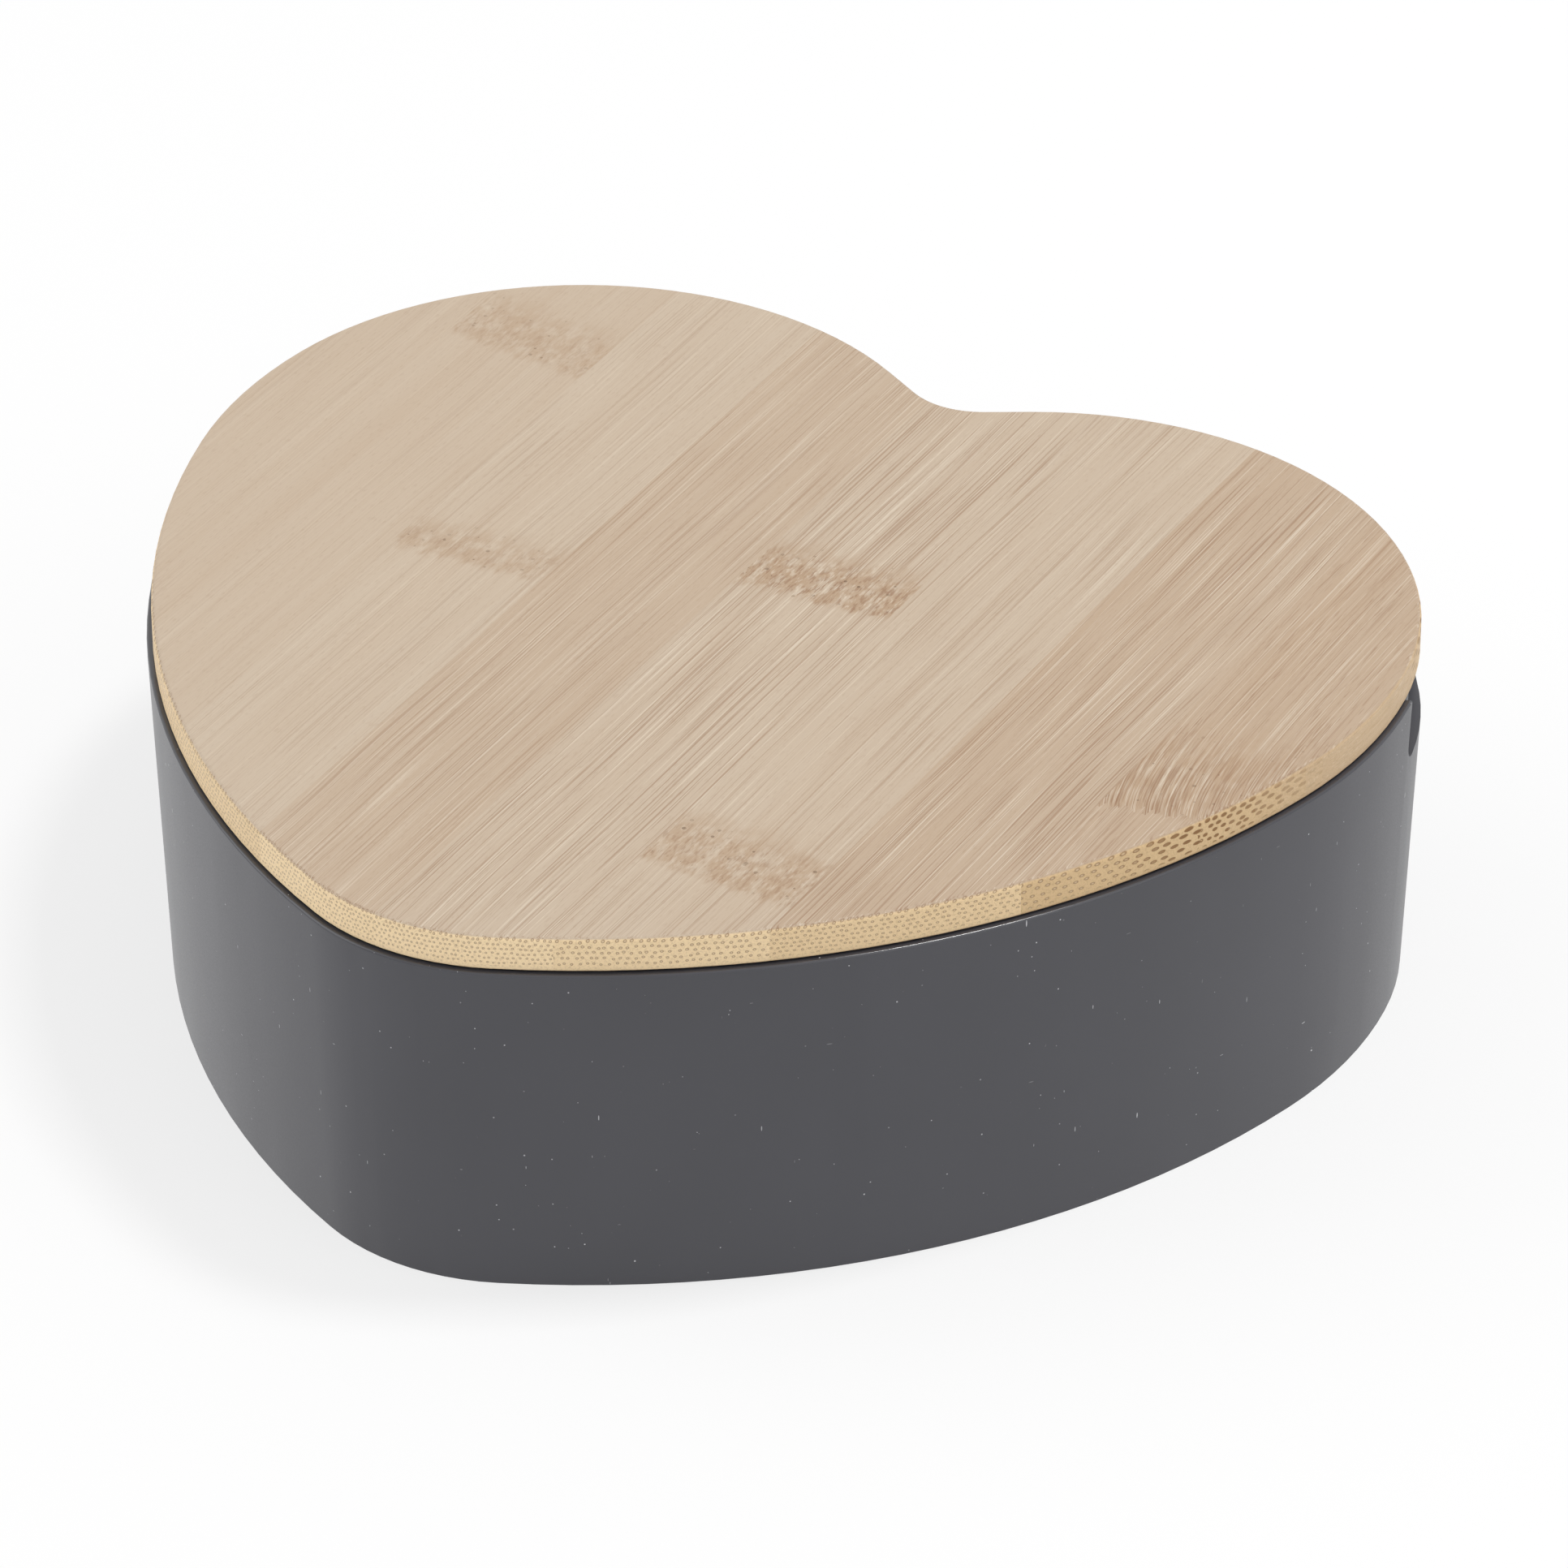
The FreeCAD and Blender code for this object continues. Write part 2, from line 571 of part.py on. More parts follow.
def make_lid():
    body = new_body("lid_blank")
    pad(body, heart(body, "lid_outline", "dims.lid_inset", TRAY_TOP), "dims.lid_thickness")
    fillet_edges(body, "lid_upper_round", "dims.lid_round", at_level(plus(TRAY_TOP, "dims.lid_thickness")))
    fillet_edges(body, "lid_lower_round", "dims.lid_under_round", at_level(TRAY_TOP))
    spots = rim_spots(RING_SCREW_INSET)
    pilots = [rod("lid_pilot_%d" % i, "dims.case_screw_radius", "dims.case_screw_grip", (x, y, TRAY_TOP))
              for i, (x, y) in enumerate(spots)]
    keep(carve("lid_board", body, *pilots))
    ring_floor = minus(TRAY_TOP, "dims.lid_ring_height")
    ring_body = new_body("ring_blank")
    pad(ring_body, heart(ring_body, "ring_outline", RING_INSET, ring_floor), "dims.lid_ring_height")
    inner = heart(ring_body, "ring_inner", plus(RING_INSET, "dims.lid_ring_width"), TRAY_TOP)
    pocket(ring_body, inner, "dims.lid_ring_height")
    head_room = plus("dims.case_head_radius", "dims.screw_play")
    play = plus("dims.case_screw_radius", "dims.screw_play")
    holes = []
    for i, (x, y) in enumerate(spots):
        holes.append(rod("ring_sink_%d" % i, head_room, "dims.case_head_height", (x, y, ring_floor)))
        holes.append(rod("ring_hole_%d" % i, play, "dims.lid_ring_height", (x, y, ring_floor)))
    keep(carve("lid_ring", ring_body, *holes))
    head_seat = plus(ring_floor, "dims.case_head_height")
    grip = plus(minus(TRAY_TOP, head_seat), "dims.case_screw_grip")
    keep(group("lid_screws", [screw("lid_screw_%d" % i, spot, head_seat, grip, True)
                              for i, spot in enumerate(spots)]))


# Levels and lines of the movement, from the barrel axis and the bed's underside

def at(x, y, z):
    """Place in the movement, as a place in the box."""
    return (plus("dims.movement_x", x), plus("dims.movement_y", y), plus(BASE_TOP, z))


BED_TOP = "dims.bed_thickness"
RATCHET_FLOOR = plus(BED_TOP, "dims.plate_gap")
DRUM_FLOOR = plus(RATCHET_FLOOR, "dims.ratchet_thickness", "dims.plate_gap")
COVER_FLOOR = plus(DRUM_FLOOR, "dims.drum_height")
COVER_TOP = plus(COVER_FLOOR, "dims.cover_thickness")
CROWN_RADIUS = "dims.crown_module * dims.crown_teeth / 2"
CROWN_TIP = plus(COVER_TOP, "dims.crown_module * (dims.addendum + dims.dedendum)")
COVER_RADIUS = plus(CROWN_RADIUS, half("dims.crown_face"))
DRUM_RADIUS = plus(COVER_RADIUS, "dims.drum_lip")
BRIDGE_FLOOR = plus(CROWN_TIP, "dims.plate_gap")
BRIDGE_TOP = plus(BRIDGE_FLOOR, "dims.frame_thickness")
AXIS_Z = plus(COVER_TOP, "dims.crown_module * dims.dedendum", "dims.crown_module * dims.pinion_teeth / 2")
PINION_START = minus(CROWN_RADIUS, half("dims.pinion_width"))
LUG_END = minus(PINION_START, "dims.plate_gap")
LUG_START = minus(LUG_END, "dims.frame_thickness")
SLEEVE_START = plus(DRUM_RADIUS, "dims.cylinder_gap")
COMB_LENGTH = "dims.comb_pitch * dims.comb_teeth"
COMB_START = plus(SLEEVE_START, "dims.cylinder_gap")
COMB_END = plus(COMB_START, COMB_LENGTH)
SLEEVE_END = plus(COMB_END, "dims.cylinder_gap")
GEAR_END = plus(SLEEVE_END, "dims.gear_width")
BRACKET_START = plus(GEAR_END, "dims.plate_gap")
BRACKET_END = plus(BRACKET_START, "dims.frame_thickness")
WHEEL_START = plus(BRACKET_END, "dims.plate_gap")
WHEEL_END = plus(WHEEL_START, "dims.gear_width")
GOVERNOR_STEP = "dims.gear_module * (dims.gear_teeth + dims.governor_teeth) / 2"
GOVERNOR_Y = wrap(GOVERNOR_STEP) + " * cos(dims.governor_drop)"
GOVERNOR_Z = minus(AXIS_Z, wrap(GOVERNOR_STEP) + " * sin(dims.governor_drop)")
WHEEL_RADIUS = "dims.gear_module * dims.wheel_teeth / 2"
TOOTH_ADDENDUM = "dims.gear_module * dims.addendum"
TOOTH_DEDENDUM = "dims.gear_module * dims.dedendum"
WORM_TIP = plus("dims.worm_radius", TOOTH_ADDENDUM)
WORM_ROOT = minus("dims.worm_radius", TOOTH_DEDENDUM)
WORM_PITCH = "pi * dims.gear_module"
WORM_X = plus(WHEEL_START, half("dims.gear_width"))
WORM_Y = plus(GOVERNOR_Y, WHEEL_RADIUS, "dims.worm_radius")
WORM_START = minus(GOVERNOR_Z, wrap(WORM_PITCH) + " * dims.worm_turns_below")
FOOT_TOP = minus(WORM_START, half(WORM_PITCH), "dims.plate_gap")
FAN_FLOOR = plus(GOVERNOR_Z, WHEEL_RADIUS, TOOTH_ADDENDUM, "dims.plate_gap")
FAN_TOP = plus(FAN_FLOOR, "dims.fan_height")
ARM_FLOOR = plus(FAN_TOP, "dims.plate_gap")
ARM_TOP = plus(ARM_FLOOR, "dims.frame_thickness")
SIDE_START = plus(WORM_X, WORM_TIP, "dims.plate_gap")
SIDE_END = plus(SIDE_START, "dims.frame_thickness")
BACK_START = plus(WORM_Y, "dims.fan_radius", "2 * dims.plate_gap")
BACK_END = plus(BACK_START, "dims.frame_thickness")
SCREW_LAND = plus("dims.small_head_radius", "dims.bed_border")
LEG_Y = plus(DRUM_RADIUS, "dims.bed_border", half("dims.bearing_wall"))
PIN_TIP = plus("dims.cylinder_radius", "dims.pin_height")
COMB_TIP = "-" + wrap(plus(PIN_TIP, "dims.comb_gap"))
COMB_ROOT = minus(COMB_TIP, "dims.comb_reach")
COMB_BACK = minus(COMB_ROOT, "dims.comb_foot")
COMB_FLOOR = minus(AXIS_Z, half("dims.comb_thickness"))
BED_LEFT = "-" + wrap(plus(DRUM_RADIUS, "dims.bed_border"))
BED_RIGHT = plus(SIDE_END, "dims.bed_border")
BED_FRONT = minus(COMB_BACK, "dims.bed_border")
BED_BACK = plus(BACK_END, "dims.bed_border")
STOP_X = minus(WORM_X, "dims.stop_step")
GUIDE_TOP = plus(BED_TOP, "dims.guide_height")
COLLAR_FLOOR = minus(FAN_FLOOR, "dims.collar_drop")
COLLAR_TOP = plus(COLLAR_FLOOR, "dims.collar_height")
BUSH_RADIUS = plus("dims.stop_radius", "dims.bush_wall")
BRACKET_SCREW_X = minus(BRACKET_START, SCREW_LAND)
BRACKET_FRONT = "-" + wrap(plus("dims.pivot_radius", "dims.bearing_wall", SCREW_LAND))
BRACKET_BACK = plus(GOVERNOR_Y, "dims.governor_radius", half("dims.bearing_wall"))
GUIDE_SCREW_Y = plus(WORM_Y, "dims.collar_radius", "dims.small_head_radius")


def movement_spots():
    """Three places where the bed is screwed to the base plate."""
    inset = plus("dims.case_head_radius", "dims.bed_border")
    left = plus(BED_LEFT, inset)
    return [at(left, plus(BED_FRONT, inset), "0"), at(left, minus(BED_BACK, inset), "0"),
            at(minus(BED_RIGHT, inset), minus(BRACKET_FRONT, inset, "dims.bed_border"), "0")]


def frame_spots():
    """Places where the frames are screwed to the bed from below."""
    return [("0", LEG_Y), ("0", "-" + wrap(LEG_Y)),
            (BRACKET_SCREW_X, plus(BRACKET_FRONT, SCREW_LAND)),
            (BRACKET_SCREW_X, minus(BRACKET_BACK, SCREW_LAND)),
            (WORM_X, WORM_Y), (WORM_X, minus(BACK_END, SCREW_LAND)), (STOP_X, GUIDE_SCREW_Y)]


def frame_holes(name):
    """Tapped holes that take the frame screws' grip above the bed."""
    return [rod("%s_tap_%d" % (name, i), "dims.small_screw_radius", "dims.small_screw_grip",
                at(x, y, BED_TOP))
            for i, (x, y) in enumerate(frame_spots())]


def wheel(label, teeth, module, width, bore, place, turn, phase):
    """Spur wheel with straight sided teeth, the first of them at an angle from its own X."""
    body = new_body(label)
    pitch_radius = "%s * %s / 2" % (module, teeth)
    root = minus(pitch_radius, module + " * dims.dedendum")
    tip = plus(pitch_radius, module + " * dims.addendum")
    blank = new_sketch(body, label + "_blank")
    ring(blank, root)
    ring(blank, bore)
    pad(body, blank, width)
    tooth = new_sketch(body, label + "_tooth")
    root_half = "pi * %s * dims.root_share / 2" % module
    tip_half = "pi * %s * dims.tip_share / 2" % module
    sunk = minus(root, half(module))
    outline(tooth, [(sunk, "-" + wrap(root_half)), (root, "-" + wrap(root_half)),
                    (tip, "-" + wrap(tip_half)), (tip, tip_half), (root, root_half), (sunk, root_half)])
    tooth.setExpression("AttachmentOffset.Rotation.Angle", phase)
    repeat_round(body, pad(body, tooth, width), teeth)
    seat(body, place, turn)
    return keep(body)


# Movement

def make_bed():
    plate = block("bed_plate", at(BED_LEFT, BED_FRONT, "0"), at(BED_RIGHT, BED_BACK, BED_TOP))
    pedestal = block("comb_pedestal", at(COMB_START, COMB_BACK, "0"),
                     at(COMB_END, minus(COMB_ROOT, "dims.comb_gap"), COMB_FLOOR))
    casting = join("bed_casting", plate, pedestal)
    tools = [rod("bed_bore", plus("dims.wind_radius", "dims.running_fit"), BED_TOP, at("0", "0", "0")),
             rod("bed_click_hole", "dims.small_screw_radius", BED_TOP, at(CLICK_X, CLICK_Y, "0"))]
    sink = plus("dims.small_head_radius", "dims.screw_play")
    play = plus("dims.small_screw_radius", "dims.screw_play")
    for i, (x, y) in enumerate(frame_spots()):
        tools.append(rod("bed_sink_%d" % i, sink, "dims.small_head_height", at(x, y, "0")))
        tools.append(rod("bed_hole_%d" % i, play, BED_TOP, at(x, y, "0")))
    for i, place in enumerate(movement_spots()):
        tools.append(rod("bed_mount_%d" % i, "dims.case_screw_radius", BED_TOP, place))
    for i, (x, y) in enumerate(comb_spots()):
        tools.append(rod("pedestal_tap_%d" % i, "dims.small_screw_radius", "dims.small_screw_grip",
                         at(x, y, minus(COMB_FLOOR, "dims.small_screw_grip"))))
    keep(carve("bedplate", casting, *tools))
    grip = plus(minus(BED_TOP, "dims.small_head_height"), "dims.small_screw_grip")
    screws = []
    for i, (x, y) in enumerate(frame_spots()):
        place = at(x, y, "dims.small_head_height")
        screws.append(screw("frame_screw_%d" % i, place[:2], place[2], grip, True, "small"))
    keep(group("frame_screws", screws))


def comb_spots():
    y = plus(COMB_BACK, half("dims.comb_foot"))
    return [(plus(COMB_START, "dims.comb_screw_step"), y), (minus(COMB_END, "dims.comb_screw_step"), y)]


def make_comb():
    body = new_body("comb_blank")
    blank = new_sketch(body, "comb_outline")
    outline(blank, [("0", COMB_BACK), (COMB_LENGTH, COMB_BACK), (COMB_LENGTH, COMB_TIP), ("0", COMB_TIP)])
    pad(body, blank, "dims.comb_thickness")
    slot = new_sketch(body, "comb_slot", lift="dims.comb_thickness")
    low = minus("dims.comb_pitch", half("dims.comb_slot"))
    high = plus("dims.comb_pitch", half("dims.comb_slot"))
    outline(slot, [(low, COMB_ROOT), (high, COMB_ROOT), (high, COMB_TIP), (low, COMB_TIP)])
    slots = body.newObject("PartDesign::LinearPattern", "comb_slots")
    slots.Originals = [pocket(body, slot, "dims.comb_thickness")]
    slots.Direction = (origin_part(body, "X_Axis"), [""])
    slots.setExpression("Length", "dims.comb_pitch * (dims.comb_teeth - 2)")
    slots.setExpression("Occurrences", "dims.comb_teeth - 1")
    body.Tip = slots
    seat(body, at(COMB_START, "0", COMB_FLOOR))
    play = plus("dims.small_screw_radius", "dims.screw_play")
    holes = [rod("comb_hole_%d" % i, play, "dims.comb_thickness", at(x, y, COMB_FLOOR))
             for i, (x, y) in enumerate(comb_spots())]
    keep(carve("comb", body, *holes))
    screws = []
    for i, (x, y) in enumerate(comb_spots()):
        place = at(x, y, plus(COMB_FLOOR, "dims.comb_thickness"))
        grip = plus("dims.comb_thickness", "dims.small_screw_grip")
        screws.append(screw("comb_screw_%d" % i, place[:2], place[2], grip, False, "small"))
    keep(group("comb_screws", screws))


def make_cylinder():
    place = at(SLEEVE_START, "0", AXIS_Z)
    length = number(minus(SLEEVE_END, SLEEVE_START))
    radius = number("dims.cylinder_radius")
    bore = number("dims.cylinder_arbor_radius")
    across = FreeCAD.Vector(1, 0, 0)
    sleeve = Part.makeCylinder(radius, length, FreeCAD.Vector(), across)
    sleeve = sleeve.cut(Part.makeCylinder(bore, length, FreeCAD.Vector(), across))
    # Pins step round by the golden angle from track to track, so they play no known tune
    golden = math.pi * (3 - math.sqrt(5))
    count = int(number("dims.pins_per_track"))
    pins = []
    for track in range(int(number("dims.comb_teeth"))):
        x = number("dims.cylinder_gap") + number("dims.comb_pitch") * (track + 0.5)
        for order in range(count):
            angle = golden * track + 2 * math.pi * order / count
            out = FreeCAD.Vector(0, math.cos(angle), math.sin(angle))
            foot = FreeCAD.Vector(x, 0, 0) + out * bore * 2
            height = number(PIN_TIP) - bore * 2
            pins.append(Part.makeCylinder(number("dims.pin_radius"), height, foot, out))
    item = doc.addObject("Part::Feature", "pinned_cylinder")
    item.Shape = sleeve.multiFuse(pins)
    seat(item, place)
    keep(item)
    big = rod("cylinder_arbor_body", "dims.cylinder_arbor_radius", minus(GEAR_END, PINION_START),
              at(PINION_START, "0", AXIS_Z), ALONG_X)
    pivot_end = plus(BRACKET_END, "dims.plate_gap")
    small = rod("cylinder_pivots", "dims.pivot_radius", minus(pivot_end, LUG_START),
                at(LUG_START, "0", AXIS_Z), ALONG_X)
    keep(join("cylinder_arbor", big, small))
    wheel("cylinder_pinion", "dims.pinion_teeth", "dims.crown_module", "dims.pinion_width",
          "dims.cylinder_arbor_radius", at(PINION_START, "0", AXIS_Z), ALONG_X, "0")
    wheel("cylinder_gear", "dims.gear_teeth", "dims.gear_module", "dims.gear_width",
          "dims.cylinder_arbor_radius", at(SLEEVE_END, "0", AXIS_Z), ALONG_X, MESH_ANGLE)


# Angle of the line of centres to the governor arbor, seen in the wheels' own planes
MESH_ANGLE = minus("90", "dims.governor_drop")


def make_barrel():
    axis = ("0", "0")
    play = plus("dims.wind_radius", "dims.running_fit")
    drum = rod("drum_outside", DRUM_RADIUS, "dims.drum_height", at(*axis, DRUM_FLOOR))
    hollow = rod("drum_hollow", minus(DRUM_RADIUS, "dims.drum_wall"), "dims.drum_height",
                 at(*axis, plus(DRUM_FLOOR, "dims.drum_floor")))
    bore = rod("drum_bore", play, "dims.drum_height", at(*axis, DRUM_FLOOR))
    keep(carve("barrel_drum", drum, hollow, bore))

    body = new_body("crown_wheel")
    blank = new_sketch(body, "crown_blank")
    ring(blank, COVER_RADIUS)
    ring(blank, play)
    pad(body, blank, "dims.cover_thickness")
    tooth = new_sketch(body, "crown_tooth", "YZ_Plane", minus(CROWN_RADIUS, half("dims.crown_face")))
    root_half = "pi * dims.crown_module * dims.root_share / 2"
    tip_half = "pi * dims.crown_module * dims.tip_share / 2"
    sunk = half("dims.cover_thickness")
    tip = plus("dims.cover_thickness", "dims.crown_module * (dims.addendum + dims.dedendum)")
    outline(tooth, [("-" + wrap(root_half), sunk), (root_half, sunk),
                    (root_half, "dims.cover_thickness"), (tip_half, tip), ("-" + wrap(tip_half), tip),
                    ("-" + wrap(root_half), "dims.cover_thickness")])
    repeat_round(body, pad(body, tooth, "dims.crown_face"), "dims.crown_teeth")
    seat(body, at(*axis, COVER_FLOOR))
    # Half a tooth round, so that a gap lies under the pinion's lowest tooth
    body.setExpression("Placement.Rotation.Angle", "180 / dims.crown_teeth")
    keep(body)

    item = doc.addObject("Part::Feature", "mainspring")
    item.Shape = mainspring_shape()
    seat(item, at(*axis, plus(DRUM_FLOOR, "dims.drum_floor", "dims.spring_clear")))
    keep(item)


def mainspring_shape():
    """Flat spiral of half circles, whose centres step from side to side."""
    step = number("dims.spring_step")
    strip = number("dims.spring_strip")
    start = number("dims.core_radius") + step
    height = number("dims.drum_height - dims.drum_floor - 2 * dims.spring_clear")

    def spiral(offset):
        edges = []
        for turn in range(int(2 * number("dims.spring_turns"))):
            middle = FreeCAD.Vector(step / 4 if turn % 2 else -step / 4, 0, 0)
            radius = start + step / 2 * turn + step / 4 + offset
            first = math.pi * (turn % 2)
            ends = [middle + FreeCAD.Vector(radius * math.cos(first + a), radius * math.sin(first + a), 0)
                    for a in (0, math.pi / 2, math.pi)]
            edges.append(Part.Arc(*ends).toShape())
        return edges

    inner = spiral(-strip / 2)
    outer = spiral(strip / 2)
    close_in = Part.LineSegment(inner[0].Vertexes[0].Point, outer[0].Vertexes[0].Point).toShape()
    close_out = Part.LineSegment(inner[-1].Vertexes[-1].Point, outer[-1].Vertexes[-1].Point).toShape()
    edges = Part.sortEdges(inner + [close_out] + outer + [close_in])[0]
    return Part.Face(Part.Wire(edges)).extrude(FreeCAD.Vector(0, 0, height))


KEY_TOP = "-" + wrap(plus("dims.base_thickness", "dims.key_gap"))
KEY_FLOOR = minus(KEY_TOP, "dims.key_hub_height")


def make_winding():
    shaft = rod("wind_shaft", "dims.wind_radius", minus(BRIDGE_FLOOR, "dims.plate_gap", KEY_FLOOR),
                at("0", "0", KEY_FLOOR))
    inside = plus(DRUM_FLOOR, "dims.drum_floor", "dims.spring_clear")
    core = rod("wind_core", "dims.core_radius", minus(COVER_FLOOR, "dims.spring_clear", inside),
               at("0", "0", inside))
    pivot = rod("wind_top", "dims.wind_pivot", minus(BRIDGE_TOP, BED_TOP), at("0", "0", BED_TOP))
    keep(join("winding_arbor", shaft, core, pivot))

    body = new_body("ratchet_wheel")
    root = minus("dims.ratchet_radius", "dims.ratchet_depth")
    blank = new_sketch(body, "ratchet_blank")
    ring(blank, root)
    ring(blank, "dims.wind_radius")
    pad(body, blank, "dims.ratchet_thickness")
    tooth = new_sketch(body, "ratchet_tooth")
    sunk = minus(root, "dims.ratchet_depth")
    span = "pi * dims.ratchet_radius / dims.ratchet_teeth"
    outline(tooth, [(sunk, "0"), ("dims.ratchet_radius", "0"), (root, span), (sunk, span)])
    repeat_round(body, pad(body, tooth, "dims.ratchet_thickness"), "dims.ratchet_teeth")
    seat(body, at("0", "0", RATCHET_FLOOR))
    keep(body)

    wings = []
    eyes = []
    across = "-" + half("dims.key_wing_thickness")
    wing_z = plus(KEY_FLOOR, "dims.key_wing_radius")
    for side in ("", "-"):
        step = side + "dims.key_wing_step"
        wings.append(rod("key_wing" + side, "dims.key_wing_radius", "dims.key_wing_thickness",
                         at(step, across, wing_z), ALONG_Y))
        eyes.append(rod("key_eye" + side, "dims.key_eye_radius", "dims.key_wing_thickness",
                        at(step, across, wing_z), ALONG_Y))
    web = block("key_web", at("-dims.key_wing_step", across, KEY_FLOOR),
                at("dims.key_wing_step", half("dims.key_wing_thickness"), wing_z))
    hub = rod("key_hub", "dims.key_hub_radius", "dims.key_hub_height", at("0", "0", KEY_FLOOR))
    bore = rod("key_bore", "dims.wind_radius", "dims.key_hub_height", at("0", "0", KEY_FLOOR))
    keep(carve("winding_key", join("key_casting", hub, web, *wings), bore, *eyes))


CLICK_NOSE = "-" + wrap(plus("dims.ratchet_radius", "dims.click_gap"))
CLICK_SIDE = minus(CLICK_NOSE, "dims.ratchet_depth")
CLICK_BACK = minus(CLICK_SIDE, "dims.click_width")
CLICK_X = minus(CLICK_SIDE, half("dims.click_width"))
CLICK_Y = plus("-dims.click_length", half("dims.click_width"))


def make_click():
    body = new_body("click_lever")
    sketch = new_sketch(body, "click_outline")
    nose = half("dims.click_width")
    outline(sketch, [(CLICK_BACK, "-dims.click_length"), (CLICK_SIDE, "-dims.click_length"),
                     (CLICK_SIDE, "-dims.click_width"), (CLICK_NOSE, "-" + wrap(nose)), (CLICK_NOSE, nose),
                     (CLICK_X, nose), (CLICK_BACK, "-dims.click_width")])
    thick = plus("dims.plate_gap", "dims.ratchet_thickness")
    pad(body, sketch, thick)
    seat(body, at("0", "0", BED_TOP))
    hole = rod("click_hole", "dims.small_screw_radius", thick, at(CLICK_X, CLICK_Y, BED_TOP))
    keep(carve("click", body, hole))
    keep(rod("click_pin", "dims.small_screw_radius", plus(BED_TOP, thick), at(CLICK_X, CLICK_Y, "0")))
    leaf_back = minus(CLICK_BACK, "dims.click_leaf")
    post_back = minus(leaf_back, "dims.click_width")
    leaf = block("click_leaf_strip", at(leaf_back, "-dims.click_length", BED_TOP),
                 at(CLICK_BACK, "dims.click_width", plus(BED_TOP, thick)))
    post = block("click_leaf_post", at(post_back, nose, BED_TOP),
                 at(CLICK_BACK, plus(nose, "dims.click_width"), plus(BED_TOP, thick)))
    keep(join("click_spring", leaf, post))


def make_frames():
    taps = frame_holes("frame")
    # Portal over the barrel, with a lug that carries the cylinder's inner pivot
    leg = half("dims.bearing_wall")
    legs = []
    for side in ("", "-"):
        middle = side + wrap(LEG_Y)
        legs.append(block("bridge_leg" + side, at("-dims.bearing_wall", minus(middle, leg), BED_TOP),
                          at("dims.bearing_wall", plus(middle, leg), BRIDGE_TOP)))
    outside = plus(LEG_Y, leg)
    top = block("bridge_plate", at("-dims.bearing_wall", "-" + wrap(outside), BRIDGE_FLOOR),
                at(LUG_END, outside, BRIDGE_TOP))
    boss = plus("dims.pivot_radius", "dims.bearing_wall")
    lug = block("bridge_lug", at(LUG_START, "-" + wrap(boss), BRIDGE_FLOOR),
                at(LUG_END, boss, plus(AXIS_Z, boss)))
    fit = "dims.running_fit"
    pivot = rod("bridge_pivot_hole", plus("dims.wind_pivot", fit), BRIDGE_TOP, at("0", "0", BED_TOP))
    inner = rod("lug_hole", plus("dims.pivot_radius", fit), LUG_END,
                at(half(LUG_START), "0", AXIS_Z), ALONG_X)
    keep(carve("barrel_bridge", join("bridge_casting", top, lug, *legs), pivot, inner, *taps[0:2]))

    # Plate between the cylinder gear and the worm wheel
    body = new_body("end_plate")
    sketch = new_sketch(body, "end_outline", "YZ_Plane")
    boss_back = plus(boss, "dims.gear_module")
    outline(sketch, [(BRACKET_FRONT, BED_TOP), (BRACKET_BACK, BED_TOP),
                     (BRACKET_BACK, plus(GOVERNOR_Z, "dims.bearing_wall")), (boss_back, plus(AXIS_Z, boss)),
                     ("-" + wrap(boss), plus(AXIS_Z, boss)), (BRACKET_FRONT, GOVERNOR_Z)])
    pad(body, sketch, "dims.frame_thickness")
    seat(body, at(BRACKET_START, "0", "0"))
    foot = block("end_foot", at(minus(BRACKET_SCREW_X, SCREW_LAND), BRACKET_FRONT, BED_TOP),
                 at(BRACKET_END, BRACKET_BACK, plus(BED_TOP, "dims.small_screw_grip", "dims.bed_border")))
    outer = rod("end_hole", plus("dims.pivot_radius", fit), "dims.frame_thickness",
                at(BRACKET_START, "0", AXIS_Z), ALONG_X)
    governor = rod("end_governor_hole", plus("dims.governor_radius", fit), "dims.frame_thickness",
                   at(BRACKET_START, GOVERNOR_Y, GOVERNOR_Z), ALONG_X)
    keep(carve("end_bracket", join("end_casting", body, foot), outer, governor, *taps[2:4]))

    # Governor frame: foot, back wall, arm over the fan and side plate for the wheel's outer pivot
    edge = minus(WORM_X, "dims.bearing_wall")
    front = minus(WORM_Y, "dims.bearing_wall")
    low_foot = block("governor_foot", at(edge, front, BED_TOP), at(SIDE_END, BACK_END, FOOT_TOP))
    wall = block("governor_wall", at(edge, BACK_START, BED_TOP), at(SIDE_END, BACK_END, ARM_TOP))
    arm = block("governor_arm", at(edge, front, ARM_FLOOR), at(SIDE_END, BACK_END, ARM_TOP))
    side = block("governor_side", at(SIDE_START, minus(GOVERNOR_Y, "dims.bearing_wall"), BED_TOP),
                 at(SIDE_END, BACK_END, plus(GOVERNOR_Z, "dims.bearing_wall")))
    worm_play = plus("dims.worm_pivot", fit)
    holes = [rod("worm_low_hole", worm_play, "2 * dims.worm_pivot + dims.plate_gap",
                 at(WORM_X, WORM_Y, minus(FOOT_TOP, "2 * dims.worm_pivot", "dims.plate_gap"))),
             rod("worm_top_hole", worm_play, "dims.frame_thickness", at(WORM_X, WORM_Y, ARM_FLOOR)),
             rod("governor_out_hole", plus("dims.governor_pivot", fit), "dims.frame_thickness",
                 at(SIDE_START, GOVERNOR_Y, GOVERNOR_Z), ALONG_X)]
    keep(carve("governor_frame", join("governor_casting", low_foot, wall, arm, side), *holes, *taps[4:6]))

